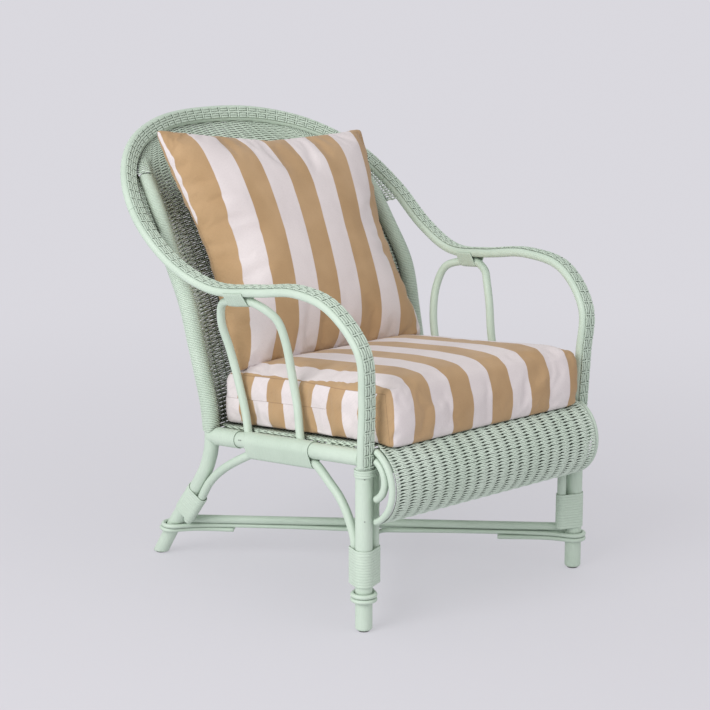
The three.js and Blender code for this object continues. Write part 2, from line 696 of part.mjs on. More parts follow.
// Arm loops: shares of the loop's depth behind the front leg, of its outward lean and of its rise
const loopFootX = 9; // inwards of the side rail's centre line
const loopLean = 24; // the loop's top leans outwards from its feet
const loopDepthShares = { front: 0.4155, back: 0.8973 }; // of the seat frame's depth
const rearLimbShares = [
	{ back: 0.716, out: 0, up: 0 },
	{ back: 0.8, out: -0.25, up: 0.17 },
	{ back: 0.91, out: -0.3, up: 0.4 },
	{ back: 0.975, out: 0, up: 0.605 },
	{ back: 1, out: 0.58, up: 0.785 },
	{ back: 0.93, out: 1, up: 0.925 },
];
const frontLimbShares = [
	{ back: 0.37, out: 0.75, up: 0.955 },
	{ back: 0.28, out: 0.21, up: 0.88 },
	{ back: 0.213, out: -0.08, up: 0.735 },
	{ back: 0.156, out: -0.3, up: 0.49 },
	{ back: 0.09, out: -0.33, up: 0.265 },
	{ back: 0.04, out: -0.17, up: 0.09 },
	{ back: 0, out: 0, up: 0 },
];
const strapFrom = 15; // the rim's samples that the loop lies under
const strapTo = 16;
const loopBelowRim = rimPoleRadius + loopRadius + bendGap;
function underRim(i) {
	const down = rimSides[i].clone().cross(rimWays[i]);
	return rimPoints[i].clone().addScaledVector(down, loopBelowRim);
}
const loopTop = underRim(strapFrom).z;
const loopFootAt = (y) => railTopAt(y) - railRadius / 2;
const loopPoint = ({ back, out, up }) => {
	const y = seatFrameDepth * THREE.MathUtils.lerp(loopDepthShares.front, loopDepthShares.back, back);
	const foot = loopFootAt(y);
	return vec(frontLegX + loopFootX - loopLean * out, y, foot + (loopTop - foot) * up);
};
const loopCorners = [
	...rearLimbShares.map(loopPoint),
	underRim(strapTo),
	underRim(strapFrom),
	...frontLimbShares.map(loopPoint),
];
const archHull = [{ x: 0, y: 0, r: railRadius }, { x: 0, y: archBelowRail, r: archRadius }];
const railWay = [vec(1, 0, 0)];
const railWrapShares = { front: 0.33, back: 0.68 };
const railPart = ({ front, back }) => [front, back].map((share) => railPoint(seatFrameDepth * share));
const railWrapLine = railPart(railWrapShares);
const wrapClearShape = new THREE.Shape(outlineRound(archHull, bindingGap + bindingThickness + touchGap));
const wrapClear = extrudeAlong(wrapClearShape, railWrapLine, railWay);
const armLoop = pole(curvePoints(loopCorners, 22), loopRadius, 8);
addPair('arm_loop', cutBy(armLoop, [railClear, wrapClear]), paintedRattan);

// Loop bindings: a strap under the arm that holds the loop's top to the rim's poles
function strapShape() {
	const poles = [
		{ x: rimPoleOffset, y: 0, r: rimPoleRadius },
		{ x: -rimPoleOffset, y: 0, r: rimPoleRadius },
		{ x: 0, y: -loopBelowRim, r: loopRadius + 2 * touchGap },
	];
	const count = 28;
	const firstShare = 0.5; // of a turn, and round underneath to the other side
	const outer = outlineRound(poles, bindingGap + bindingThickness, count).slice(count * firstShare);
	const inner = outlineRound(poles, bindingGap, count).slice(count * firstShare);
	return new THREE.Shape([...outer, ...inner.toReversed()]);
}
const strapRange = [strapFrom, strapTo + 1];
const strap = extrudeAlong(strapShape(), rimPoints.slice(...strapRange), rimSides.slice(...strapRange));
addPair('loop_binding', strap, paintedRattan);

// Rail bindings: the wide wrap that holds the side arch under the side rail
addPair('rail_binding', binding(archHull, railWrapLine, railWay), paintedRattan);

// Rail end wraps: round the side rail where it meets the rear leg
const railEndWrapShares = { front: 0.8, back: 0.955 };
const railOnly = [{ x: 0, y: 0, r: railRadius }];
addPair('rail_end_wrap', binding(railOnly, railPart(railEndWrapShares), railWay), paintedRattan);

// Leg rings: a band round the front leg and its post, just under the rails
const ringHeight = 14;
const ringTop = frontLegTop - 8 * touchGap;
const legSide = [vec(1, 0, 0)];
const ringCircles = [
	{ x: 0, y: 0, r: frontLegRadius },
	{ x: frontPostInset, y: frontPostSetback, r: frontPostRadius },
];
const uprightLine = (bottom, top) => [vec(frontLegX, 0, bottom), vec(frontLegX, 0, top)];
addPair('leg_ring', binding(ringCircles, uprightLine(ringTop - ringHeight, ringTop), legSide), paintedRattan);

// Stretcher: two crossing poles from leg to leg, one whole and one in two halves
const rearLegAtStretcher = rearLegAt(stretcherHeight).point;
const frontEnd = (side) => vec(side * frontLegX, 0, stretcherHeight);
const rearEnd = (side) => vec(side * rearLegX, rearLegAtStretcher.y, stretcherHeight);
const crossing = (() => {
	const share = frontLegX / (frontLegX + rearLegX);
	return frontEnd(1).lerp(rearEnd(-1), share);
})();
const frontLegClear = pole(frontLegLine, frontLegRadius + touchGap, 14);
const legCutters = [frontLegClear, mirrored(frontLegClear), rearLegClear, mirrored(rearLegClear)];
const wholePole = pole([rearEnd(1), frontEnd(-1)], stretcherRadius, 10);
const wholePoleClear = pole([rearEnd(1), frontEnd(-1)], stretcherRadius + touchGap, 10);
addPiece('stretcher_pole', cutBy(wholePole, legCutters), paintedRattan);
const frontHalf = pole([frontEnd(1), crossing], stretcherRadius, 10);
const rearHalf = pole([rearEnd(-1), crossing], stretcherRadius, 10);
addPiece('stretcher_half_front', cutBy(frontHalf, [...legCutters, wholePoleClear]), paintedRattan);
addPiece('stretcher_half_rear', cutBy(rearHalf, [...legCutters, wholePoleClear]), paintedRattan);

// Thin rods under the stretcher. Each goes round the outside of a leg and along both flanks of its arm.
const rodGap = bendGap;
const upperRodHeight = stretcherHeight - stretcherRadius - thinRodRadius - touchGap;
const lowerRodHeight = upperRodHeight - 2 * thinRodRadius - touchGap;
function legCorner(side, rear, height) {
	const leg = rear ? rearLegAt(height) : null;
	const centre = rear ? vec(side * rearLegX, leg.point.y, height) : vec(side * frontLegX, 0, height);
	const slant = rear ? 1 / leg.way.z : 1; // a raked leg's level section is longer than it is wide
	const radius = (rear ? rearLegRadius * slant + rodGap : frontLegRadius) + thinRodRadius + rodGap;
	const out = centre.clone().sub(crossing).setZ(0).normalize();
	return { centre, radius, out, across: vec(-out.y, out.x, 0) };
}
// Points round the outside of a leg, from one flank of its arm to the other
function roundLeg({ centre, radius, out, across }, turnSteps = 6) {
	const points = [];
	for (let i = 0; i <= turnSteps; i += 1) {
		const angle = Math.PI * (i / turnSteps - 0.5);
		const point = centre.clone().addScaledVector(out, radius * Math.cos(angle));
		points.push(point.addScaledVector(across, radius * Math.sin(angle)));
	}
	return points;
}
const corners = [[-1, false], [-1, true], [1, true], [1, false]];
const besideLeg = 2.2; // leg radii from the leg to where a rod lies against the stretcher's flank
function loopRodPoints() {
	const points = [];
	const legs = corners.map(([side, rear]) => legCorner(side, rear, upperRodHeight));
	const flank = (leg, side, along) => crossing.clone().setZ(upperRodHeight)
		.addScaledVector(leg.out, along).addScaledVector(leg.across, side * thinRodOffset);
	for (let i = 0; i < legs.length; i += 1) {
		const leg = legs[i];
		const next = legs[(i + 1) % legs.length];
		const armLength = leg.centre.clone().setZ(0).distanceTo(crossing.clone().setZ(0));
		const nextLength = next.centre.clone().setZ(0).distanceTo(crossing.clone().setZ(0));
		points.push(...roundLeg(leg));
		const leave = flank(leg, 1, armLength - leg.radius * besideLeg);
		const join = flank(next, -1, nextLength - next.radius * besideLeg);
		const between = leg.out.clone().add(next.out).multiplyScalar(0.5);
		const middle = crossing.clone().setZ(upperRodHeight).addScaledVector(between, thinRodClearing);
		points.push(leave, flank(leg, 1, thinRodClearing * 2), middle, flank(next, -1, thinRodClearing * 2), join);
	}
	return points;
}
const loopRodCorners = loopRodPoints();
const loopRodCut = 9; // the corner, along an arm, where the rod's two ends meet
const turned = [...loopRodCorners.slice(loopRodCut), ...loopRodCorners.slice(0, loopRodCut)];
const rodEndWay = turned[turned.length - 1].clone().sub(turned[0]).normalize();
const loopRodEnd = turned[0].clone().addScaledVector(rodEndWay, touchGap);
addPiece('stretcher_loop_rod', pole([...turned, loopRodEnd], thinRodRadius, 6), paintedRattan);

function hairpin(side, rear) {
	const leg = legCorner(side, rear, lowerRodHeight);
	const inward = leg.out.clone().negate();
	const end = (way, along) => leg.centre.clone()
		.addScaledVector(inward, along).addScaledVector(leg.across, way * thinRodOffset);
	const near = leg.radius * besideLeg;
	const points = [end(-1, hairpinReach), end(-1, near), ...roundLeg(leg), end(1, near), end(1, hairpinReach)];
	return pole(points, thinRodRadius, 8);
}
addPair('front_hairpin', hairpin(1, false), paintedRattan);
addPair('rear_hairpin', hairpin(1, true), paintedRattan);

// Leg wraps: round the front leg, the arch behind it and the post beside it, notched for the stretcher
const wrapBottom = stretcherHeight - stretcherRadius + touchGap;
const wrapTop = 152;
const legWrapCircles = [
	...ringCircles,
	{ x: 0, y: archBehindLeg, r: archRadius },
];
const legWrap = binding(legWrapCircles, uprightLine(wrapBottom, wrapTop), legSide);
const stretcherClear = pole([frontEnd(1), rearEnd(-1)], stretcherRadius + touchGap, 10);
addPair('leg_wrap', cutBy(legWrap, [stretcherClear]), paintedRattan);

// Rear leg bindings: round the rear leg and the foot of the side arch
const rearWrapShares = [0.385, 0.45, 0.515, 0.58];
const rearWrapPoints = rearWrapShares.map((share) => rearLegAt(railRearHeight * share).point);
const rearWrapCircles = [{ x: 0, y: 0, r: rearLegRadius }, { x: 0, y: archBesideRearLeg, r: archRadius }];
const rearWrap = binding(rearWrapCircles, rearWrapPoints, [vec(-1, 0, 0)]);
addPair('rear_leg_binding', rearWrap, paintedRattan);

// A closed body through rings of points, with a fan at each end
function loftRings(rings, first, last) {
	const count = rings[0].length;
	const positions = rings.flat().flatMap((point) => point.toArray());
	const firstIndex = rings.length * count;
	positions.push(...first.toArray(), ...last.toArray());
	const index = [];
	for (let k = 0; k < rings.length - 1; k += 1) {
		for (let i = 0; i < count; i += 1) {
			const a = k * count + i;
			const b = k * count + ((i + 1) % count);
			index.push(a, b, b + count, a, b + count, a + count);
		}
	}
	const topRow = (rings.length - 1) * count;
	for (let i = 0; i < count; i += 1) {
		const next = (i + 1) % count;
		index.push(firstIndex, next, i);
		index.push(firstIndex + 1, topRow + i, topRow + next);
	}
	const geometry = new THREE.BufferGeometry();
	geometry.setAttribute('position', new THREE.Float32BufferAttribute(positions, 3));
	geometry.setIndex(index);
	geometry.computeVertexNormals();
	return geometry;
}

// A square of half size 1 with round corners, going round from its first side
function squareRing(cornerShare, sideSteps, cornerSteps) {
	const ring = [];
	for (let side = 0; side < 4; side += 1) {
		const turn = (side * Math.PI) / 2;
		for (let i = 0; i < sideSteps; i += 1) {
			const along = (1 - cornerShare) * ((2 * i) / sideSteps - 1);
			ring.push(new THREE.Vector2(1, along).rotateAround(new THREE.Vector2(), turn));
		}
		const corner = new THREE.Vector2(1 - cornerShare, 1 - cornerShare);
		for (let i = 0; i < cornerSteps; i += 1) {
			const angle = (Math.PI / 2) * (i / cornerSteps);
			const point = new THREE.Vector2(Math.cos(angle), Math.sin(angle)).multiplyScalar(cornerShare);
			ring.push(point.add(corner).rotateAround(new THREE.Vector2(), turn));
		}
	}
	return ring;
}

// Seat cushion: boxed, crowned on top, its sides drawn in between the corners, lying on the woven seat
const cushionLift = deckThickness + 3 * touchGap;
const seatCushionShares = [
	// scale in plan, height as a share of the edge thickness, share of the crown
	{ plan: 0.5, height: 0, crown: 0 },
	{ plan: 0.93, height: 0, crown: 0 },
	{ plan: 0.985, height: 0.07, crown: 0 },
	{ plan: 1, height: 0.3, crown: 0 },
	{ plan: 1, height: 0.62, crown: 0 },
	{ plan: 0.985, height: 0.88, crown: 0 },
	{ plan: 0.95, height: 0.985, crown: 0 },
	{ plan: 0.86, height: 1, crown: 0.42 },
	{ plan: 0.66, height: 1, crown: 0.75 },
	{ plan: 0.36, height: 1, crown: 0.96 },
];
const cushionMiddle = (seatCushionBack - seatCushionFront) / 2;
const cushionHalfDepth = (seatCushionBack + seatCushionFront) / 2;
const drawnInShare = 0.012;
function seatCushionPoint(way, { plan, height, crown }) {
	const drawn = 1 - drawnInShare * (1 - Math.abs(way.x * way.y));
	const x = (seatCushionWidth / 2) * way.x * plan * drawn;
	const y = cushionMiddle + cushionHalfDepth * way.y * plan * drawn;
	const base = railTopAt(y) + cushionLift;
	return vec(x, y, base + seatCushionEdge * height + seatCushionCrown * crown);
}
const cushionWays = squareRing(0.055, 6, 3);
const centreWay = new THREE.Vector2(0, 0);
const seatCushion = loftRings(
	seatCushionShares.map((share) => cushionWays.map((way) => seatCushionPoint(way, share))),
	seatCushionPoint(centreWay, { plan: 0, height: 0, crown: 0 }),
	seatCushionPoint(centreWay, { plan: 0, height: 1, crown: 1 }),
);
addPiece('seat_cushion', seatCushion, stripedFabric);

// Back cushion: two panels sewn edge to edge, full in the middle, with sides drawn in between its ears
const backFaceShare = 0.5; // of the fullness, behind the seam
const earShare = 0.1; // how far the sides draw in, of half the cushion's size
const taperShare = 0.05; // how much wider it is at its head, and narrower at its foot
const pillowShares = [0.25, 0.5, 0.7, 0.84, 0.93, 0.98];
const pillowWays = squareRing(0.04, 9, 2);
function pillowPoint(way, scale, face) {
	const toCorner = Math.abs(way.x * way.y);
	const drawn = 1 - earShare * (1 - toCorner) * scale;
	const thinning = (part) => 1 - Math.abs(part * scale) ** 2.5;
	const fullness = Math.sqrt(Math.max(thinning(way.x) * thinning(way.y), 0));
	const share = face > 0 ? backFaceShare : 1 - backFaceShare;
	const depth = backCushionEdge / 2 + (backCushionDepth - backCushionEdge) * share * fullness;
	const x = (backCushionWidth / 2) * way.x * scale * drawn * (1 + taperShare * way.y * scale);
	const pushed = backCushionSkew * way.x * scale * Math.max(way.y * scale, 0);
	return vec(x, face * depth, (backCushionHeight / 2) * way.y * scale * drawn - pushed);
}
const pillowRing = (scale, face) => pillowWays.map((way) => pillowPoint(way, scale, face));
const backRings = pillowShares.map((scale) => pillowRing(scale, 1));
const frontRings = pillowShares.toReversed().map((scale) => pillowRing(scale, -1));
const seamRings = [1, -1].map((face) => pillowRing(1, face));
const pillow = loftRings(
	[...backRings, ...seamRings, ...frontRings],
	pillowPoint(centreWay, 0, 1),
	pillowPoint(centreWay, 0, -1),
);
const backCushion = addPiece('back_cushion', pillow, stripedFabric);
const backCushionLean = Math.atan2(postLean, postRise) + backCushionTip;
const backCushionFoot = seatFrameDepth - backCushionFootInset;
const seatEdgeTop = railTopAt(backCushionFoot) + cushionLift + seatCushionEdge;
backCushion.rotation.x = -backCushionLean;
backCushion.position.set(0, backCushionFoot, seatEdgeTop + backCushionFootLift);
backCushion.translateZ(backCushionHeight / 2);

// The origin is on the floor under the middle of the chair's box
const part = new THREE.Group();
part.add(chair);
const box = new THREE.Box3().setFromObject(part, true);
chair.position.y = -(box.min.y + box.max.y) / 2;
part.updateMatrixWorld(true);

export default part;
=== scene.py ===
import math
import bmesh
import bpy
import numpy as np
from mathutils import Matrix, Vector


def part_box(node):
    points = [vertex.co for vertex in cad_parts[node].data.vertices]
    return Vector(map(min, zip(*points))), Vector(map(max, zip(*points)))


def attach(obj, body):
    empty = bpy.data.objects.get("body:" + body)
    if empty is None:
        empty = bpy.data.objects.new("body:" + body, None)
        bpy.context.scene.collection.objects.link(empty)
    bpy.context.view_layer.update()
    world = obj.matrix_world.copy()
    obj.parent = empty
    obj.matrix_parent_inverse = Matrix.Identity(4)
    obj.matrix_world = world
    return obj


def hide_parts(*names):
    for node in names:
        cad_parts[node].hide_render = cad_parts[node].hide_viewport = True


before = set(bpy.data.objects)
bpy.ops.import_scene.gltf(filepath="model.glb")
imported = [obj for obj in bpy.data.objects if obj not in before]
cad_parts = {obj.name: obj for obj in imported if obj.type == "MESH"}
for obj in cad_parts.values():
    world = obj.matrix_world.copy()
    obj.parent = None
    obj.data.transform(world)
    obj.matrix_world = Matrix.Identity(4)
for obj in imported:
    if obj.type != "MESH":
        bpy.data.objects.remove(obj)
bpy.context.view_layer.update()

# The place
# The chair stands on a plain pale studio floor and is seen from its front right corner, a little
# above the arms. The floor and the far backdrop are one soft grey with a trace of lilac.
MM = 0.001
leg_low, leg_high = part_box("front_leg_right")
front_leg_line = (leg_low.y + leg_high.y) / 2

CAMERA_LENS = 114.44
CAMERA_HEADING = math.radians(41.47)
CAMERA_DIP = math.radians(13.10)
CAMERA_X, CAMERA_Y, CAMERA_Z = -2.809, -2.848, 1.393  # metres, with y measured from the front legs
camera_data = bpy.data.cameras.new("studio_camera")
camera_data.sensor_width = 36
camera_data.lens = CAMERA_LENS
camera = bpy.data.objects.new("studio_camera", camera_data)
bpy.context.scene.collection.objects.link(camera)
bpy.context.scene.camera = camera
ahead = Vector((math.sin(CAMERA_HEADING) * math.cos(CAMERA_DIP),
                math.cos(CAMERA_HEADING) * math.cos(CAMERA_DIP), -math.sin(CAMERA_DIP)))
across = Vector((math.cos(CAMERA_HEADING), -math.sin(CAMERA_HEADING), 0))
upward = across.cross(ahead)
turn = Matrix((across, upward, -ahead)).transposed().to_4x4()
camera.matrix_world = Matrix.Translation((CAMERA_X, CAMERA_Y + front_leg_line, CAMERA_Z)) @ turn
bpy.context.scene.view_settings.view_transform = "Standard"


def feed(tree, made, inputs):
    """Gives each of a node's inputs that are named its value, or links it to the socket that feeds it."""
    for key, value in inputs.items():
        if isinstance(value, bpy.types.NodeSocket):
            tree.links.new(value, made.inputs[key])
        else:
            made.inputs[key].default_value = value


def node(tree, kind, inputs, **settings):
    made = tree.nodes.new(kind)
    for key, value in settings.items():
        setattr(made, key, value)
    feed(tree, made, inputs)
    return made


def worked_out(tree, operation, first, second=0.0):
    """The result of a sum. Each of its two values is a number or a socket."""
    return node(tree, "ShaderNodeMath", {0: first, 1: second}, operation=operation).outputs[0]


def backdrop_rays(tree):
    """1 for rays that see the backdrop: from the camera, and in gloss and glass."""
    rays = node(tree, "ShaderNodeLightPath", {}).outputs
    seen = worked_out(tree, "MAXIMUM", rays["Is Camera Ray"], rays["Is Glossy Ray"])
    return worked_out(tree, "MAXIMUM", seen, rays["Is Transmission Ray"])


BACKDROP = (0.700, 0.690, 0.735, 1)
ROOM_LIGHT = (1.0, 0.99, 1.0, 1)
ROOM_STRENGTH = 0.60
world = bpy.data.worlds.new("studio")
bpy.context.scene.world = world
world.use_nodes = True
sky = world.node_tree
sky.nodes.clear()
room = node(sky, "ShaderNodeBackground", {"Color": ROOM_LIGHT, "Strength": ROOM_STRENGTH})
seen_backdrop = node(sky, "ShaderNodeBackground", {"Color": BACKDROP})
both = node(sky, "ShaderNodeMixShader",
            {0: backdrop_rays(sky), 1: room.outputs[0], 2: seen_backdrop.outputs[0]})
node(sky, "ShaderNodeOutputWorld", {"Surface": both.outputs[0]})

FLOOR_HALF = 14
FLOOR_COLOUR = (0.735, 0.725, 0.768, 1)
FADE_REACH = (0.3, 2.6)  # metres from the chair, over which the floor turns into the backdrop
FADE_START = 0.62  # how far it has turned under the chair
floor_corners = [(side * FLOOR_HALF, end * FLOOR_HALF, 0)
                 for side, end in ((-1, -1), (1, -1), (1, 1), (-1, 1))]
floor_mesh = bpy.data.meshes.new("studio_floor")
floor_mesh.from_pydata(floor_corners, [], [(0, 1, 2, 3)])
floor = bpy.data.objects.new("studio_floor", floor_mesh)
bpy.context.scene.collection.objects.link(floor)
floor_paint = bpy.data.materials.new("studio_floor")
floor_paint.use_nodes = True
tree = floor_paint.node_tree
tree.nodes.clear()
near = node(tree, "ShaderNodeBsdfDiffuse", {"Color": FLOOR_COLOUR})
far = node(tree, "ShaderNodeEmission", {"Color": BACKDROP})
spot = node(tree, "ShaderNodeTexCoord", {})
reach = node(tree, "ShaderNodeVectorMath", {0: spot.outputs["Object"]}, operation="LENGTH")
fade = node(tree, "ShaderNodeMapRange",
            {"Value": reach.outputs["Value"], "From Min": FADE_REACH[0], "From Max": FADE_REACH[1],
             "To Min": FADE_START}, interpolation_type="SMOOTHSTEP")
faded = worked_out(tree, "MULTIPLY", fade.outputs[0], backdrop_rays(tree))
laid = node(tree, "ShaderNodeMixShader", {0: faded, 1: near.outputs[0], 2: far.outputs[0]})
node(tree, "ShaderNodeOutputMaterial", {"Surface": laid.outputs[0]})
floor_mesh.materials.append(floor_paint)

# One broad soft lamp stands high on the chair's right, and a weaker one fills in from the front
LAMPS = {
    "studio_softbox": ((-3.6, -0.7, 2.3), 90),
    "studio_fill": ((0.6, -3.6, 2.4), 10),
}
LAMP_SIZE = 2.4
LAMP_AIM = Vector((0, 0, 0.4))
for lamp_name, (lamp_place, lamp_power) in LAMPS.items():
    lamp_data = bpy.data.lights.new(lamp_name, "AREA")
    lamp_data.shape = "SQUARE"
    lamp_data.size = LAMP_SIZE
    lamp_data.energy = lamp_power
    lamp = bpy.data.objects.new(lamp_name, lamp_data)
    bpy.context.scene.collection.objects.link(lamp)
    lamp.location = lamp_place
    lamp.rotation_euler = (LAMP_AIM - Vector(lamp_place)).to_track_quat("-Z", "Y").to_euler()

# Front legs
# Two straight poles of thick peeled rattan, sanded smooth and sprayed with mint-green paint. Each
# stands under the front end of a side rail, pinned up into it. The cane's joints still show faintly.
rng = np.random.default_rng(7)


def directions(path):
    ways = np.gradient(path, axis=0)
    return ways / np.linalg.norm(ways, axis=1)[:, None]


def run_length(path):
    return np.concatenate([[0], np.cumsum(np.linalg.norm(np.diff(path, axis=0), axis=1))])


def values_at(stops, run, values):
    """Values given at the lengths of a run, taken at other lengths of it."""
    return np.stack([np.interp(stops, run, values[:, k]) for k in range(3)], axis=1)


def at_lengths(path, lengths):
    return values_at(lengths, run_length(path), path)


def evenly(path, spacing):
    length = run_length(path)[-1]
    return at_lengths(path, np.linspace(0, length, max(2, int(round(length / spacing)) + 1)))


def straight(start, end):
    return evenly(np.array([start, end], float), 2)


def bent_cane(corners, spacing=2.0):
    """The smooth curve a bent cane takes through some points."""
    points = [np.array(corner, float) for corner in corners]
    points = [2 * points[0] - points[1], *points, 2 * points[-1] - points[-2]]
    weights = np.linspace(0, 1, 25)[:-1, None]
    runs = []
    for p0, p1, p2, p3 in zip(points, points[1:], points[2:], points[3:]):
        d0, d1, d2 = (np.linalg.norm(b - a) ** 0.5 for a, b in ((p0, p1), (p1, p2), (p2, p3)))
        start = ((p1 - p0) / d0 - (p2 - p0) / (d0 + d1) + (p2 - p1) / d1) * d1
        end = ((p2 - p1) / d1 - (p3 - p1) / (d1 + d2) + (p3 - p2) / d2) * d1
        runs.append(p1 + start * weights + (3 * (p2 - p1) - 2 * start - end) * weights**2
                    + (2 * (p1 - p2) + start + end) * weights**3)
    runs.append(points[-2][None, :])
    return evenly(np.concatenate(runs), spacing)


def carried_sides(ways, first):
    """A sideways direction carried along a run without turning."""
    side = np.array(first, float)
    sides = []
    for way in ways:
        side = side - way * side.dot(way)
        side = side / np.linalg.norm(side)
        sides.append(side)
    return np.array(sides)


def strip_faces(rows, count):
    """Faces between rings of points, each ring closed."""
    a = (np.arange(rows - 1)[:, None] * count + np.arange(count)[None, :]).ravel()
    b = (np.arange(rows - 1)[:, None] * count + (np.arange(count) + 1)[None, :] % count).ravel()
    return np.stack([a, b, b + count, a + count], axis=1)


def sweep(path, outlines, sides, capped=True):
    """Points, faces and grain of a strand: outlines in its side and up directions, swept along a path.
    The grain is each point's place on the strand if it were straight, for the material."""
    ways = directions(path)
    sides = sides - ways * np.sum(sides * ways, axis=1)[:, None]
    sides = sides / np.linalg.norm(sides, axis=1)[:, None]
    ups = np.cross(ways, sides)
    if outlines.ndim == 2:
        outlines = np.broadcast_to(outlines, (len(path), *outlines.shape))
    rows, count = outlines.shape[:2]
    points = path[:, None, :] + outlines[:, :, :1] * sides[:, None, :] + outlines[:, :, 1:] * ups[:, None, :]
    along = np.broadcast_to(run_length(path)[:, None, None], (rows, count, 1))
    grain = np.concatenate([along, outlines], axis=2).reshape(-1, 3)
    faces = strip_faces(rows, count).tolist()
    if capped:
        last = (rows - 1) * count
        faces.append(list(range(count))[::-1])
        faces.append([last + i for i in range(count)])
    return points.reshape(-1, 3), faces, grain


def round_outline(radius, count):
    angles = np.arange(count) / count * 2 * np.pi
    return np.stack([np.cos(angles), np.sin(angles)], axis=1) * radius


JOINT_SPACING = (150, 290)  # between the cane's joints, in millimetres
JOINT_RISE = 0.022  # how far a joint stands out, as a share of the radius
CANE_STEP = 4.5
END_STEPS = np.array([0, 0.03, 0.1, 0.22])  # of the radius, over which an end is rounded
END_ROUNDING = 0.16
GRAIN_SHIFT, GRAIN_LOOP = 0.37, 900  # which keep the grain of one strand apart from the next one's


def cane(path, radius, count=18, first=(1, 0, 0), joints=True, sides=None):
    """A pole of cane with its joints, its two ends slightly rounded over."""
    length = run_length(path)[-1]
    ends = END_STEPS * radius
    middle = np.arange(1, int(length / CANE_STEP)) * CANE_STEP
    stops = np.unique(np.concatenate([ends, middle, length - ends]))
    stops = stops[(stops <= length) & (stops >= 0)]
    scale = np.ones(len(stops))
    for edge in (stops, length - stops):
        scale *= 1 - END_ROUNDING * np.clip(1 - edge / (END_STEPS[-1] * radius), 0, 1) ** 2
    if joints:
        joint = rng.uniform(30, JOINT_SPACING[0])
        while joint < length:
            scale += JOINT_RISE * np.exp(-(((stops - joint) / 6) ** 2))
            scale -= JOINT_RISE * 0.9 * np.exp(-(((stops - joint) / 1.8) ** 2))
            joint += rng.uniform(*JOINT_SPACING)
    line = at_lengths(path, stops)
    if sides is None:
        sides = carried_sides(directions(line), first)
    else:
        sides = values_at(stops, run_length(path), sides)
    outlines = round_outline(radius, count)[None, :, :] * scale[:, None, None]
    return sweep(line, outlines, sides)


def join_bits(bits):
    points, faces, grain, count = [], [], [], 0
    for bit_points, bit_faces, bit_grain in bits:
        points.append(bit_points)
        grain.append(bit_grain + np.array([count * GRAIN_SHIFT % GRAIN_LOOP, 0, 0]))
        faces.extend([[i + count for i in face] for face in bit_faces])
        count += len(bit_points)
    return np.concatenate(points), faces, np.concatenate(grain)


def standing(name, points, faces):
    """An object of points in millimetres, with y measured from the front legs."""
    points = points * MM
    points[:, 1] += front_leg_line
    mesh = bpy.data.meshes.new(name)
    mesh.from_pydata(points.tolist(), [], faces)
    piece = bpy.data.objects.new(name, mesh)
    bpy.context.scene.collection.objects.link(piece)
    return piece


def lay_values(mesh, name, values):
    """Gives each point of a mesh three values in millimetres that its material reads."""
    layer = mesh.attributes.new(name, "FLOAT_VECTOR", "POINT")
    layer.data.foreach_set("vector", (values * MM).astype(np.float32).ravel())


def painted_body(name, bits, material, mirror):
    points, faces, grain = join_bits(bits)
    if mirror:
        points = points * [-1, 1, 1]
        faces = [face[::-1] for face in faces]
    piece = standing(name, points, faces)
    lay_values(piece.data, "grain", grain)
    piece.data.shade_smooth()
    piece.data.materials.append(material)
    return piece


def add_piece(name, bits, material, stands_for, mirror=False):
    """One piece of the frame that takes the place of some nodes of the CAD."""
    piece = painted_body(name, bits, material, mirror)
    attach(piece, "frame")
    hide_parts(*stands_for)
    return piece


def add_both(name, node_name, bits, material):
    """The piece on the sitter's right, and its mirror image on the left."""
    return [add_piece(f"{name}_{side}", bits, material, [f"{node_name}_{side}"], side == "left")
            for side in ("right", "left")]


def noise(tree, place, scale, detail):
    made = node(tree, "ShaderNodeTexNoise", {"Scale": scale, "Detail": detail, "Vector": place})
    return made.outputs["Fac"]


def noise_on_grain(tree, stretch, scale):
    """Noise laid along a strand: it is stretched the way the fibres run."""
    grain = node(tree, "ShaderNodeAttribute", {}, attribute_name="grain")
    spread = node(tree, "ShaderNodeVectorMath", {0: grain.outputs["Vector"], 1: (1 / stretch, 1, 1)},
                  operation="MULTIPLY")
    return noise(tree, spread.outputs[0], scale, 3.0)


def noise_in_place(tree, scale, detail=2.0):
    return noise(tree, node(tree, "ShaderNodeTexCoord", {}).outputs["Object"], scale, detail)


def between(tree, share, low, high, first, second):
    """A colour that goes from first to second as the share goes from low to high."""
    ramp = node(tree, "ShaderNodeValToRGB", {"Fac": share})
    for element, position, colour in zip(ramp.color_ramp.elements, (low, high), (first, second)):
        element.position = position
        element.color = colour
    return ramp.outputs["Color"]


def times(tree, a, b, share=1):
    """One colour multiplied by another, as far as the share says."""
    return node(tree, "ShaderNodeMix", {"Factor": share, "A": a, "B": b}, data_type="RGBA",
                blend_type="MULTIPLY").outputs["Result"]


def closeness(tree, reach):
    """How open a place is: 1 out in the open, less where other surfaces are near."""
    return node(tree, "ShaderNodeAmbientOcclusion", {"Distance": reach * MM}, samples=6).outputs["AO"]


def bumps(tree, height, strength, depth, under=None):
    made = node(tree, "ShaderNodeBump", {"Strength": strength, "Distance": depth, "Height": height})
    if under:
        tree.links.new(under, made.inputs["Normal"])
    return made.outputs[0]


MINT = (0.655, 0.770, 0.655, 1)
MINT_SHADE = (0.590, 0.710, 0.595, 1)
# The colour of the painted shade in the crevices
CREVICE_SHADE = (0.10, 0.12, 0.09, 1)
DEEP_SHADE = (0.26, 0.23, 0.18, 1)
FULL = (1, 1, 1, 1)
THIN_PAINT = (0.93, 0.94, 0.93, 1)


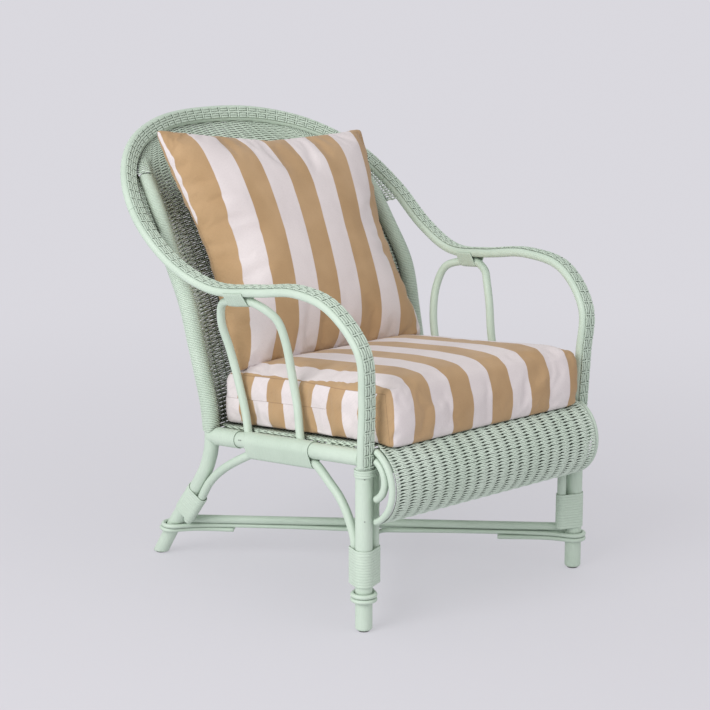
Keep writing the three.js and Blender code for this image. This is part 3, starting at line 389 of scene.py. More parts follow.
def mint_paint(name, roughness, fibre, crevice_shade_share, light=MINT, shade=MINT_SHADE, crevice_shade_reach=5.0,
               shade_reach=None, crevice_shade_range=(0.30, 0.82)):
    """Sprayed satin paint over cane: uneven and thin, with the fibres showing, and painted shade in the
    crevices.
    """
    paint = bpy.data.materials.new(name)
    paint.use_nodes = True
    tree = paint.node_tree
    cloudy = between(tree, noise_in_place(tree, 9.0), 0.35, 0.7, shade, light)
    streaks = between(tree, noise_on_grain(tree, 14.0, 900.0), 0.3, 0.62, THIN_PAINT, FULL)
    # Painted shade: the colour darkens towards the crevice colour where other surfaces are close by
    hollow = between(tree, closeness(tree, crevice_shade_reach), *crevice_shade_range, CREVICE_SHADE, FULL)
    colour = times(tree, times(tree, cloudy, streaks), hollow, crevice_shade_share)
    if shade_reach:
        shaded = between(tree, closeness(tree, shade_reach), 0.12, 0.55, DEEP_SHADE, FULL)
        colour = times(tree, colour, shaded)
    sheen = node(tree, "ShaderNodeMapRange", {"Value": noise_in_place(tree, 60.0), "To Min": roughness - 0.07,
                                              "To Max": roughness + 0.09})
    ridges = bumps(tree, noise_on_grain(tree, 18.0, 1400.0), fibre, 0.0006)
    spray = bumps(tree, noise_in_place(tree, 420.0), 0.12, 0.0005, ridges)
    feed(tree, tree.nodes["Principled BSDF"], {"Base Color": colour, "Roughness": sheen.outputs[0],
                                               "Normal": spray})
    return paint


painted_pole = mint_paint("painted_pole", 0.46, 0.25, 0.35)


def add_pole(name, node_name, pole):
    add_piece(name, [pole], painted_pole, [node_name])


def add_poles(name, node_name, pole):
    return add_both(name, node_name, [pole], painted_pole)


TOUCH = 0.3  # the gap left between pieces that touch on the real chair
LEG_SPAN = 542
LEG_RADIUS = 15.5
FOOT_GAP = 3  # between the pole and the floor, which the glide fills
RAIL_RADIUS = 15
RAIL_FRONT_HEIGHT = 319.3
RAIL_REAR_HEIGHT = 272
FRAME_DEPTH = 438
REAR_SPAN = 536
leg_x = -LEG_SPAN / 2
rear_x = -REAR_SPAN / 2
rail_slope = (RAIL_REAR_HEIGHT - RAIL_FRONT_HEIGHT) / FRAME_DEPTH
rail_slant = math.cos(math.atan(rail_slope))


def rail_height(y):
    return RAIL_FRONT_HEIGHT + rail_slope * y


def rail_top(y):
    return rail_height(y) + RAIL_RADIUS / rail_slant


def rail_point(y):
    return np.array([leg_x + (rear_x - leg_x) * y / FRAME_DEPTH, y, rail_height(y)])


leg_top = rail_height(LEG_RADIUS) - RAIL_RADIUS / rail_slant - TOUCH
leg_line = straight((leg_x, 0, FOOT_GAP), (leg_x, 0, leg_top + 2))
add_poles("front_leg_pole", "front_leg", cane(leg_line, LEG_RADIUS, 28))

# Rear legs and back posts
# Each is one thick pole steamed and bent: a raked leg below the seat, a post above it that leans back
# and ends inside the rim. The foot is sawn level with the floor.
REAR_RADIUS = 14
FOOT_SPREAD = 171
POST_TOP = 741
POST_LEAN = 221
POST_FLARE = 20
LEG_BENDS = [(1.06, -0.05), (1, 0), (0.72, 0.25), (0.51, 0.415), (0.24, 0.625), (0.09, 0.77), (0.015, 0.9)]
POST_BENDS = [(0, 0, 0), (0.1, 0.004, 0.07), (0.2, 0.023, 0.147), (0.45, 0.131, 0.348), (0.65, 0.253, 0.544),
              (0.5, 0.462, 0.7), (0.05, 0.72, 0.876), (-0.88, 1, 1)]
post_corners = [np.array([rear_x - POST_FLARE * flare, FRAME_DEPTH + POST_LEAN * lean,
                          RAIL_REAR_HEIGHT + (POST_TOP - RAIL_REAR_HEIGHT) * rise])
                for flare, lean, rise in POST_BENDS]
rear_path = bent_cane([(rear_x, FRAME_DEPTH + FOOT_SPREAD * spread, RAIL_REAR_HEIGHT * height)
                       for spread, height in LEG_BENDS] + post_corners)


def rear_at(height):
    """The rear pole's centre line and its way at a height."""
    i = int(np.argmax(rear_path[:, 2] > height))
    share = (height - rear_path[i - 1, 2]) / (rear_path[i, 2] - rear_path[i - 1, 2])
    return rear_path[i - 1] + (rear_path[i] - rear_path[i - 1]) * share, directions(rear_path)[i]


def rear_part(low, high):
    return rear_path[(rear_path[:, 2] >= low) & (rear_path[:, 2] <= high)]


def saw_level(piece, height):
    """Saws off what is below a height, and closes the cut."""
    work = bmesh.new()
    work.from_mesh(piece.data)
    parts = work.verts[:] + work.edges[:] + work.faces[:]
    cut = bmesh.ops.bisect_plane(work, geom=parts, plane_co=(0, 0, height), plane_no=(0, 0, -1),
                                 clear_outer=True)
    edges = [part for part in cut["geom_cut"] if isinstance(part, bmesh.types.BMEdge)]
    bmesh.ops.contextual_create(work, geom=edges)
    work.to_mesh(piece.data)
    work.free()


for rear_pole in add_poles("rear_leg_pole", "rear_leg", cane(rear_path, REAR_RADIUS, 26)):
    saw_level(rear_pole, FOOT_GAP * MM)

# Glides
# A round dull dark plastic pad with a rounded edge is pinned under each foot. It is a little narrower
# than the pole above it.
GLIDE_RADIUS = 10.5
PAD_DARK = (0.035, 0.033, 0.030, 1)
PAD_SCUFFED = (0.060, 0.057, 0.052, 1)
glide_plastic = bpy.data.materials.new("glide_plastic")
glide_plastic.use_nodes = True
tree = glide_plastic.node_tree
scuffs = between(tree, noise_in_place(tree, 300.0, 4.0), 0.4, 0.6, PAD_DARK, PAD_SCUFFED)
feed(tree, tree.nodes["Principled BSDF"], {"Base Color": scuffs, "Roughness": 0.55})


def turned_stack(x, y, profile, count=28):
    """A round body from (radius, height) steps, standing at x and y."""
    outlines = np.stack([round_outline(radius, count) for radius, _ in profile])
    line = np.array([[x, y, height] for _, height in profile], float)
    return sweep(line, outlines, np.tile([1.0, 0, 0], (len(profile), 1)))


glide_steps = [(GLIDE_RADIUS - 1.2, 0), (GLIDE_RADIUS - 0.4, 0.3), (GLIDE_RADIUS, 1.0), (GLIDE_RADIUS, 2.2),
               (GLIDE_RADIUS - 0.6, FOOT_GAP)]
rear_foot = rear_at(FOOT_GAP)[0]
for place_name, foot_x, foot_y in (("front", leg_x, 0), ("rear", rear_x, rear_foot[1])):
    add_both(f"{place_name}_foot_pad", f"{place_name}_glide", [turned_stack(foot_x, foot_y, glide_steps)],
             glide_plastic)

# Seat frame
# Two side rails fall towards the back and are let in against the rear legs. A front rail lies between
# the feet of the rim, a bowed rear rail between the rear legs, and two thin bearers under the seat.
CROSS_RADIUS = 14
RIM_FOOT_Y = -5
RIM_POLE_RADIUS = 8.5
BRAID_OUTER = RIM_POLE_RADIUS + 2 * TOUCH + 3.2
rim_offset = RIM_POLE_RADIUS + TOUCH / 2
rail_front_end = RIM_FOOT_Y + RIM_POLE_RADIUS + 4 * TOUCH
rail_line = straight(rail_point(rail_front_end), rail_point(FRAME_DEPTH + 4))
add_poles("side_rail_pole", "side_rail", cane(rail_line, RAIL_RADIUS, 28))

rim_face = RIM_FOOT_Y - BRAID_OUTER - TOUCH
front_rail_y = rim_face + CROSS_RADIUS
front_rail_end = -leg_x - rim_offset - BRAID_OUTER - TOUCH
front_rail_line = straight((-front_rail_end, front_rail_y, RAIL_FRONT_HEIGHT),
                           (front_rail_end, front_rail_y, RAIL_FRONT_HEIGHT))
add_pole("front_rail_pole", "front_rail", cane(front_rail_line, CROSS_RADIUS, 26, first=(0, 1, 0)))

REAR_BOW = 35
REAR_RAIL_INSET = 9
rear_rail_height = RAIL_REAR_HEIGHT - 6
bow_share = np.linspace(0, 1, 160)[:, None]
bow_start = np.array([rear_x + REAR_RAIL_INSET, FRAME_DEPTH, rear_rail_height])
bow_middle = np.array([0, FRAME_DEPTH + 2 * REAR_BOW, rear_rail_height])
rear_rail_line = evenly(bow_start * (1 - bow_share) ** 2 + bow_middle * 2 * bow_share * (1 - bow_share)
                        + bow_start * [-1, 1, 1] * bow_share**2, 2)
add_pole("rear_rail_pole", "rear_rail", cane(rear_rail_line, CROSS_RADIUS, 26, first=(0, 1, 0)))

BEARER_RADIUS = 9
for place_name, share in (("front", 0.26), ("rear", 0.735)):
    y = FRAME_DEPTH * share
    end = -rail_point(y)[0] - RAIL_RADIUS + 1
    z = rail_top(y) - BEARER_RADIUS
    bearer = cane(straight((-end, y, z), (end, y, z)), BEARER_RADIUS, 20, first=(0, 1, 0))
    add_pole(f"seat_bearer_pole_{place_name}", f"seat_bearer_{place_name}", bearer)

# Woven seat
# A mat of round rattan core lies over the rails under the cushion: weavers run from side to side, over
# and under stakes that run from front to back, and all of it is sprayed with the same paint.
# The core's paint has painted shade in its crevices, and a deep painted shade where other surfaces are near,
# as beside the back cushion.
painted_core = mint_paint("painted_core", 0.55, 0.35, 0.95, light=(0.71, 0.83, 0.71, 1),
                          shade=(0.63, 0.75, 0.63, 1), crevice_shade_reach=9, shade_reach=60)
DECK_WIDTH = 499
DECK_THICKNESS = 3.5
PANEL_SETBACK = 7  # of the woven back behind the rear legs' line
PANEL_THICKNESS = 7
MAT_ROWS, MAT_GAPS = 104, 17
MAT_CORE = (1.15, (1.1, 1.9), 1.2)  # the stakes, the weavers and how far they swing over and under
EDGE_CORE = 2.1
EDGE_DROPS = ((0.5, 0), (4.6, math.pi))  # below the rail's top, and where in the twine each core starts


def surface_points(surface, u, v, lift):
    """Points on a surface at shares u and v, lifted off it along its normal, and the normal."""
    step = 1e-3
    a = surface(np.clip(u + step, 0, 1), v) - surface(np.clip(u - step, 0, 1), v)
    b = surface(u, np.clip(v + step, 0, 1)) - surface(u, np.clip(v - step, 0, 1))
    way = np.cross(a, b)
    way = way / np.linalg.norm(way, axis=1)[:, None]
    return surface(u, v) + way * lift[:, None], way


def woven(surface, rows, gaps, stake_radius, core, swing, tuck=0.0):
    """A plain weave on a surface. Weavers run along u in rows, over and under stakes that run along v."""
    bits = []
    u = np.linspace(0, 1, gaps * 4 + 1)
    outline = round_outline(1, 6) * core
    for j in range(rows):
        uneven = rng.normal(0, 0.06, len(u)) / rows
        v = np.clip((j + 0.5) / rows + uneven, 0, 1)
        lift = swing * np.cos(np.pi * (u * gaps + j))
        path, way = surface_points(surface, u, v, lift)
        if tuck:
            for end, beyond in ((0, 1), (-1, -2)):
                out = path[end] - path[beyond]
                path[end] = path[end] + out / np.linalg.norm(out) * tuck
        bits.append(sweep(path, outline, way))
    stake_outline = round_outline(stake_radius, 8)
    v = np.linspace(0, 1, 49)
    for i in range(gaps + 1):
        path, way = surface_points(surface, np.full(len(v), i / gaps), v, np.zeros(len(v)))
        bits.append(sweep(path, stake_outline, way))
    return bits


deck_front = front_rail_y + TOUCH
deck_back = FRAME_DEPTH + PANEL_SETBACK - PANEL_THICKNESS / 2 - 2 * TOUCH


def deck_surface(u, v):
    x = DECK_WIDTH * (u - 0.5)
    back = deck_back + 4 * REAR_BOW * u * (1 - u)
    y = deck_front + (back - deck_front) * v
    z = rail_height(y) + RAIL_RADIUS / rail_slant + 2 * TOUCH + DECK_THICKNESS / 2
    return np.stack([x, y, z], axis=1)


def mat_edges():
    """Two cores twined along each side of the mat, just inside the rails."""
    strands = []
    y = np.arange(30, FRAME_DEPTH - 24, 1.5)
    for side in (-1, 1):
        for drop, phase in EDGE_DROPS:
            wave = np.sin(y / 3.2 + phase)
            x = side * (DECK_WIDTH / 2 + 0.6 + 0.7 * wave)
            line = np.stack([x, y, rail_top(y) - drop + 0.9 * wave], axis=1)
            strands.append(sweep(line, round_outline(EDGE_CORE, 8), np.tile([1.0, 0, 0], (len(y), 1))))
    return strands


seat_mat = woven(deck_surface, MAT_ROWS, MAT_GAPS, *MAT_CORE) + mat_edges()
add_piece("woven_seat_mat", seat_mat, painted_core, ["seat_weave"])

# Front posts and side arches
# A thin post stands inside each front leg under the front rail. Behind the leg a thin cane climbs,
# bends back under the side rail and comes down to the rear leg, which braces the corner.
STRETCHER_HEIGHT = 81
STRETCHER_RADIUS = 8
BEND_GAP = 1.2
ARCH_RADIUS = 8.25
POST_RADIUS = 8.5
POST_INSET = 29.5
POST_SETBACK = 5
arch_foot = STRETCHER_HEIGHT + STRETCHER_RADIUS + 1.5
post_head = RAIL_FRONT_HEIGHT - CROSS_RADIUS + 1
front_post_line = straight((leg_x + POST_INSET, POST_SETBACK, arch_foot),
                           (leg_x + POST_INSET, POST_SETBACK, post_head))
add_poles("front_post_pole", "front_post", cane(front_post_line, POST_RADIUS, 20))

arch_below_rail = RAIL_RADIUS + ARCH_RADIUS + BEND_GAP - 1
arch_behind_leg = LEG_RADIUS + ARCH_RADIUS + BEND_GAP
arch_beside_rear = REAR_RADIUS + ARCH_RADIUS + BEND_GAP


def arch_by_rear_leg(height):
    point, way = rear_at(height)
    out = np.array([0, -way[2], way[1]])
    return point + out / np.linalg.norm(out) * arch_beside_rear


def arch_point(depth, height):
    return np.array([rail_point(FRAME_DEPTH * depth)[0], FRAME_DEPTH * depth, leg_top * height])


arch_path = bent_cane(
    [arch_by_rear_leg(RAIL_REAR_HEIGHT * share) for share in (0.36, 0.45, 0.54)]
    + [arch_point(*shares) for shares in ((1.018, 0.588), (0.925, 0.7), (0.8, 0.805))]
    + [rail_point(FRAME_DEPTH * share) - [0, 0, arch_below_rail / rail_slant]
       for share in (0.705, 0.67, 0.5, 0.34, 0.305)]
    + [arch_point(*shares) for shares in ((0.21, 0.84), (0.148, 0.77), (0.098, 0.675))]
    + [np.array([leg_x, arch_behind_leg, leg_top * share]) for share in (0.535, 0.4)]
    + [np.array([leg_x, arch_behind_leg, arch_foot])])
add_poles("side_arch_cane", "side_arch", cane(arch_path, ARCH_RADIUS, 20))

# Front roll
# A rounded apron hangs in front of the seat: a rod bent to an arc at each end and a smaller bent bracket
# inside it. Between the rods weavers run in pairs that close up over each stake. A thin sheet behind them
# stands for the shade inside the roll, and painted shade makes it dark in the slits between the rows.
ROLL_SPAN = 520
ROLL_ROD_RADIUS = 6
ROLL_RADIUS = 70
ROLL_CENTRE = (8, 268.7)
BRACKET_RADIUS = 7
BRACKET_BEND = 38
BRACKET_CENTRE = (-5, 281)
ROLL_ROWS, ROLL_GAPS = 32, 19
ROLL_CORE = (1.35, 1.62)
ROLL_LIFT = (0.8, 2.5)  # how far the weavers stand out between the stakes and over them
ROLL_LIP = 0.1  # the share of the weave that lies between the feet of the rim, where it is narrower
SHADE_SHEET_DEPTH = 2.6
roll_x = -ROLL_SPAN / 2
roll_face = rim_face - TOUCH
# A brighter copy of the same paint for the roll alone: painted light, for the light from the floor that falls
# on it. Its painted crevice shade darkens the slits between the rows.
painted_roll = mint_paint("painted_roll_core", 0.55, 0.35, 1.0, light=(0.80, 0.91, 0.80, 1),
                          shade=(0.72, 0.84, 0.72, 1), crevice_shade_reach=9, crevice_shade_range=(0.30, 0.76))


def part_way(ends, share):
    return ends[0] + (ends[1] - ends[0]) * share


def arc_points(centre, radius, rise, count):
    """Places in y and z on an arc whose two ends point back to the chair."""
    angles = np.linspace(rise, 2 * math.pi - rise, count)
    return np.stack([centre[0] + radius * np.cos(angles), centre[1] + radius * np.sin(angles)], axis=1)


def arc_rod(centre, bend, radius):
    """A bent rod at the roll's end. Its two ends meet the face behind it."""
    rise = math.acos((roll_face - radius / 2 + 2 - centre[0]) / bend)
    arc = np.insert(arc_points(centre, bend, rise, 200), 0, roll_x, axis=1)
    return cane(evenly(arc, 2), radius, 18, joints=False)


add_poles("roll_edge_cane", "roll_edge_rod", arc_rod(ROLL_CENTRE, ROLL_RADIUS, ROLL_ROD_RADIUS))
add_poles("roll_bracket_cane", "roll_bracket", arc_rod(BRACKET_CENTRE, BRACKET_BEND, BRACKET_RADIUS))

shell_outer = ROLL_RADIUS + ROLL_ROD_RADIUS
shell_rise = math.acos((roll_face - ROLL_CENTRE[0]) / shell_outer)
shell_arc = arc_points(ROLL_CENTRE, shell_outer - 3.2, shell_rise, 240)
shell_lip = np.array([[front_rail_y - TOUCH, RAIL_FRONT_HEIGHT + CROSS_RADIUS + 3]])
shell_line = np.concatenate([shell_lip, shell_arc])
shell_run = run_length(shell_line)
shell_half = ROLL_SPAN / 2 - ROLL_ROD_RADIUS


def roll_surface(u, v):
    lengths = v * shell_run[-1]
    y = np.interp(lengths, shell_run, shell_line[:, 0])
    z = np.interp(lengths, shell_run, shell_line[:, 1])
    x = (shell_half - 12 * np.clip(1 - v / ROLL_LIP, 0, 1)) * (2 * u - 1)
    return np.stack([x, y, z], axis=1)


def twined_roll():
    """Rows of weavers in pairs. A pair spreads over each stake and crosses between them."""
    bits = []
    u = np.linspace(0, 1, ROLL_GAPS * 8 + 1)
    turn = np.cos(np.pi * u * ROLL_GAPS)
    spread = np.sign(turn) * np.abs(turn) ** 0.85
    for j in range(ROLL_ROWS):
        uneven = rng.normal(0, 0.05, len(u)) / ROLL_ROWS
        for strand in (1, -1):
            v = np.clip((j + 0.5 + strand * spread / 4) / ROLL_ROWS + uneven, 0, 1)
            outward = part_way(ROLL_LIFT, turn**2) + strand * 0.5 * np.sin(np.pi * u * ROLL_GAPS)
            path, way = surface_points(roll_surface, u, v, -outward)
            bits.append(sweep(path, round_outline(1, 6) * ROLL_CORE, way))
    return bits


def roll_shade_sheet():
    """A sheet behind the twined weave that stands for the shade inside the roll: painted shade makes it dark
    in the slits between the rows.
    """
    v = np.linspace(0.004, 0.996, 90)
    path, way = surface_points(roll_surface, np.full(len(v), 0.5), v, np.full(len(v), SHADE_SHEET_DEPTH))
    half = shell_half - 14
    return sweep(path, np.array([(-0.4, -half), (0.4, -half), (0.4, half), (-0.4, half)]), way)


add_piece("woven_front_roll", twined_roll() + [roll_shade_sheet()], painted_roll,
          ["front_roll_weave"])

# Rim of the arms and back
# Two thin canes run side by side from one front leg over the arm, round the top of the back and down
# the other arm. They are spliced where the arms end, under the braid.
RIM_HALF = 323
RIM_REACH = 802
RIM_HEIGHT = 826
RIM_BENDS = [(0.843, RIM_FOOT_Y / RIM_REACH, (leg_top + 4 * TOUCH) / RIM_HEIGHT), (0.847, -0.009, 0.422),
             (0.851, -0.014, 0.52), (0.873, -0.011, 0.62), (0.902, 0.071, 0.701), (0.897, 0.19, 0.72),
             (0.897, 0.332, 0.701), (0.944, 0.471, 0.691), (0.993, 0.596, 0.733), (1.004, 0.714, 0.815),
             (0.908, 0.815, 0.896), (0.685, 0.908, 0.959), (0.362, 0.973, 0.993), (0, 1, 1)]
RIM_STEPS = 72
ARM_STEPS = 24
RIM_TWIST = math.radians(32)  # how far the pair of canes has turned over at the top of the back
rim_right = [np.array([-RIM_HALF * out, RIM_REACH * back, RIM_HEIGHT * up]) for out, back, up in RIM_BENDS]
rim_left = [point * [-1, 1, 1] for point in rim_right[:-1][::-1]]
rim_fine = bent_cane(rim_right + rim_left, 1.5)
rim_length = run_length(rim_fine)[-1]
PER_STEP = 8
rim_path = at_lengths(rim_fine, np.linspace(0, rim_length, RIM_STEPS * PER_STEP + 1))
rim_ways = directions(rim_path)
half = RIM_STEPS * PER_STEP // 2
rim_sides_right = []
carried = np.array([-1.0, 0, 0])
for i in range(half + 1):
    way = rim_ways[i]
    carried = carried - way * carried.dot(way)
    carried = carried / np.linalg.norm(carried)
    share = min(max((i / half - 0.5) / 0.5, 0), 1)
    share = share * share * (3 - 2 * share)
    turned = Matrix.Rotation(RIM_TWIST * share, 3, Vector(way)) @ Vector(carried)
    rim_sides_right.append(np.array(turned))
rim_sides = np.array(rim_sides_right + [side * [-1, 1, 1] for side in rim_sides_right[:-1][::-1]])


def rim_part(first, last):
    part = slice(first * PER_STEP, last * PER_STEP + 1)
    return rim_path[part], rim_sides[part], rim_ways[part]


def shifted_cane(part, offset):
    line, sides, _ = part
    return cane(line + sides * offset, RIM_POLE_RADIUS, sides=sides, joints=False)


arm_part = rim_part(0, ARM_STEPS)
hoop_part = rim_part(ARM_STEPS, RIM_STEPS - ARM_STEPS)
for place_name, offset in (("outer", rim_offset), ("inner", -rim_offset)):
    add_poles(f"{place_name}_arm_cane", f"{place_name}_arm_pole", shifted_cane(arm_part, offset))
    add_pole(f"{place_name}_back_cane", f"{place_name}_back_hoop", shifted_cane(hoop_part, offset))

# Braid on the rim
# Flat cane is wrapped across the two poles turn by turn, and five narrow strands run lengthwise over
# the turns. Every fourth turn comes up over the strands and leaves a small dark notch beside it.
WRAP_PITCH = 5.4
WRAP_THICKNESS = 1.25
WRAP_REACH = 12.5  # how far to each side a turn that comes up lies over the strands
NOTCH_EVERY = 4
LEADERS = (-9.6, -4.9, 0, 4.9, 9.6)
LEADER_OUTLINE = np.array([[2.15, 0], [1.8, 0.75], [0.8, 1.1], [-0.8, 1.1], [-1.8, 0.75], [-2.15, 0],
                           [-1.6, -0.5], [1.6, -0.5]])
LEADER_LIFT = 1.55  # of the strands over the turns
LEADER_DIP = 1.75  # and under each fourth turn
painted_braid = mint_paint("painted_braid", 0.5, 0.3, 1.0)
braid_base = RIM_POLE_RADIUS + 0.5


def crown_profile(radius):
    """Points across both poles' crowns, from the inner flank to the outer flank."""
    angles = np.linspace(0.1 * math.pi, 0, 3)
    inner = np.stack([-rim_offset - radius * np.sin(angles), radius * np.cos(angles)], axis=1)
    return np.concatenate([inner, (inner * [-1, 1])[::-1]])


def across_strip(line, way, up_of, width, thickness):
    """A flat strip that crosses the rim, rounded on its upper edges."""
    edge = np.array([[1, 0], [0.92, 0.75], [0.55, 1]]) * [width / 2, thickness]
    outline = np.concatenate([edge, (edge * [-1, 1])[::-1]])
    ways = directions(line)
    sides = np.tile(way, (len(line), 1))
    ups = np.cross(ways, sides)
    if np.sum(ups * up_of) < 0:
        outline = outline[::-1] * [1, -1]
    return sweep(line, outline, sides)


def braid_bits(part):
    line, sides, ways = part
    ups = np.cross(ways, sides)
    run = run_length(line)
    turns = int(run[-1] / WRAP_PITCH)
    pitch = run[-1] / turns
    bits = []
    flat = crown_profile(braid_base)
    middles = (np.arange(turns) + 0.5) * pitch
    centres, turn_sides, turn_ups, turn_ways = (values_at(middles, run, values)
                                                for values in (line, sides, ups, ways))
    for i in range(turns):
        over = i % NOTCH_EVERY == 0
        way = turn_ways[i] / np.linalg.norm(turn_ways[i])
        lift = np.where(np.abs(flat[:, 0]) < WRAP_REACH, 1.15 if over else 0.0, 0.0)
        tilt = rng.normal(0, 0.35)
        strip_line = np.array([centres[i] + turn_sides[i] * x + turn_ups[i] * (y + rise) + way * tilt * x / 20
                               for (x, y), rise in zip(flat, lift)])
        width = pitch * (0.62 if over else 0.93) * rng.uniform(0.94, 1.03)
        bits.append(across_strip(strip_line, way, turn_ups[i], width, WRAP_THICKNESS))
    stops = np.linspace(0, run[-1], int(run[-1] / (pitch / 3)) + 1)
    phase = stops / pitch - 0.5
    near_notch = np.abs((phase + NOTCH_EVERY / 2) % NOTCH_EVERY - NOTCH_EVERY / 2)
    near_middle = np.abs(phase % NOTCH_EVERY - NOTCH_EVERY / 2)
    centres, stop_sides, stop_ups = (values_at(stops, run, values) for values in (line, sides, ups))
    for offset in LEADERS:
        if offset == 0:
            dips = np.clip(1 - (near_middle / 0.95) ** 2, 0, 1) * 0.5
        else:
            dips = np.clip(1 - (near_notch / 0.95) ** 2, 0, 1)
        # The outermost strands lie a little lower, on the poles' flanks
        height = braid_base + LEADER_LIFT - LEADER_DIP * dips - (0.35 if abs(offset) > 8 else 0)
        strand = centres + stop_sides * offset + stop_ups * height[:, None]
        bits.append(sweep(strand, LEADER_OUTLINE, stop_sides))
    return bits


add_both("arm_braid_band", "arm_braid", braid_bits(arm_part), painted_braid)
add_piece("back_braid_band", braid_bits(hoop_part), painted_braid, ["back_braid"])

# Sleeves on the back posts
# The weavers of the back turn round each post and come back, so the post wears a ribbed sleeve of core
# from the side rail up to the rim.
SLEEVE_PITCH = 3.25
SLEEVE_RADII = (REAR_RADIUS + 1.3, REAR_RADIUS + 3.0)


def ribbed_sleeve(path):
    """Close turns of core round a pole, as one ribbed sleeve."""
    length = run_length(path)[-1]
    stops = np.linspace(0, length, int(length / SLEEVE_PITCH) * 4 + 1)
    line = at_lengths(path, stops)
    radius = part_way(SLEEVE_RADII, np.sin(np.pi * (np.arange(len(stops)) % 4) / 4))
    radius[0] = radius[-1] = SLEEVE_RADII[0]
    outlines = round_outline(1, 26)[None, :, :] * radius[:, None, None]
    return sweep(line, outlines, carried_sides(directions(line), (1, 0, 0)))


sleeve = ribbed_sleeve(rear_part(rail_top(FRAME_DEPTH) - 6, POST_TOP - 3))
add_both("post_sleeve", "post_weave", [sleeve], painted_core)

# Woven back
# Upright stakes rise from the rear rail and are fixed under the rim. Round core is woven across them
# from post to post, and the sheet is hollowed to hold the sitter's back. Two small weaves close each
# shoulder, between the rim, the end of the post and the sheet.
PANEL_HOLLOW = 28
panel_foot = rear_rail_height + CROSS_RADIUS + 2 * TOUCH
panel_inset = REAR_RADIUS + 2.7 + 2 * BEND_GAP
panel_shift = np.array([panel_inset, PANEL_SETBACK, 0])
panel_corner = np.array([rear_x, FRAME_DEPTH, panel_foot]) + panel_shift
PANEL_RIM_FROM = 31
rim_inset = rim_offset + RIM_POLE_RADIUS + BEND_GAP - 2
panel_top = np.array([rim_path[i] - rim_sides[i] * rim_inset
                      for i in range(PANEL_RIM_FROM * PER_STEP, (RIM_STEPS - PANEL_RIM_FROM) * PER_STEP + 1)])
panel_side = bent_cane([panel_corner, *(corner + panel_shift for corner in post_corners[2:]), panel_top[0]])


def along_shares(path, shares):
    return at_lengths(path, shares * run_length(path)[-1])


def panel_bottom(u):
    u = u[:, None]
    middle = np.array([0, panel_corner[1] + 2 * REAR_BOW, panel_foot])
    return panel_corner * (1 - u) ** 2 + middle * 2 * u * (1 - u) + panel_corner * [-1, 1, 1] * u**2


def back_surface(u, v):
    right = along_shares(panel_side, v)
    left = right * [-1, 1, 1]
    u1, v1 = u[:, None], v[:, None]
    across_sheet = right * (1 - u1) + left * u1
    up_sheet = panel_bottom(u) * (1 - v1) + along_shares(panel_top, u) * v1
    corners = (panel_corner * (1 - u1) * (1 - v1) + panel_corner * [-1, 1, 1] * u1 * (1 - v1)
               + panel_top[0] * (1 - u1) * v1 + panel_top[-1] * u1 * v1)
    hollow = PANEL_HOLLOW * np.sin(np.pi * u) * np.sin(np.pi * v)
    sheet = across_sheet + up_sheet - corners
    sheet[:, 1] += hollow
    return sheet


SHOULDER_FROM = 26.8  # the step of the rim where the shoulder starts
SHOULDER_SIDE = 0.79  # and how far up the sheet's side
SHOULDER_LIFT = 20  # how far it is drawn out over the end of the post
SHOULDER_FRONT = np.array([0.1, -0.7, 0.7])
rim_inner_line = rim_path - rim_sides * rim_inset


def rim_inner_at(steps):
    return values_at(steps * PER_STEP, np.arange(len(rim_path)), rim_inner_line)


def shoulder_surface(u, v):
    """The weave that closes the corner between the rim, the end of the post and the sheet."""
    by_rim = rim_inner_at(part_way((SHOULDER_FROM, PANEL_RIM_FROM - 0.2), v))
    by_sheet = along_shares(panel_side, part_way((SHOULDER_SIDE, 0.99), v))
    past_post = np.clip(v / 0.6, 0, 1)
    lift = 1.5 + SHOULDER_LIFT * np.sin(np.pi * u) ** 0.7 * (1 - past_post**2 * (3 - 2 * past_post))
    return by_rim * (1 - u[:, None]) + by_sheet * u[:, None] + lift[:, None] * SHOULDER_FRONT


GUSSET_STEPS = (22.4, 27.2)  # where the weave between the rim and the post starts and ends on the rim
GUSSET_HEIGHTS = (644, 738)  # and on the post


def gusset_surface(u, v):
    """The narrow weave below the shoulder, from the rim to the outer side of the post."""
    by_rim = rim_inner_at(part_way(GUSSET_STEPS, v))
    by_post = values_at(part_way(GUSSET_HEIGHTS, v), rear_path[:, 2], rear_path)
    by_post = by_post + np.array([-REAR_RADIUS * 0.8, 0, 0])
    return by_rim * (1 - u[:, None]) + by_post * u[:, None]


SHOULDER_ROWS, SHOULDER_GAPS = 40, 4
GUSSET_ROWS, GUSSET_GAPS = 26, 3
SHOULDER_CORE = (1.3, (1.3, 1.85), 1.3)  # the stakes, the weavers and their swing
BACK_ROWS, BACK_GAPS = 165, 19
BACK_CORE = (1.5, (1.5, 1.9), 1.5)
BACK_TUCK = 3.5  # how far the weavers run on into the sleeves
shoulder = woven(shoulder_surface, SHOULDER_ROWS, SHOULDER_GAPS, *SHOULDER_CORE)
shoulder += woven(gusset_surface, GUSSET_ROWS, GUSSET_GAPS, *SHOULDER_CORE)
other_shoulder = [(points * [-1, 1, 1], [face[::-1] for face in faces], grain)
                  for points, faces, grain in shoulder]
back_sheet = woven(back_surface, BACK_ROWS, BACK_GAPS, *BACK_CORE, BACK_TUCK)
add_piece("woven_back_sheet", back_sheet + shoulder + other_shoulder, painted_core,
          ["back_weave"])

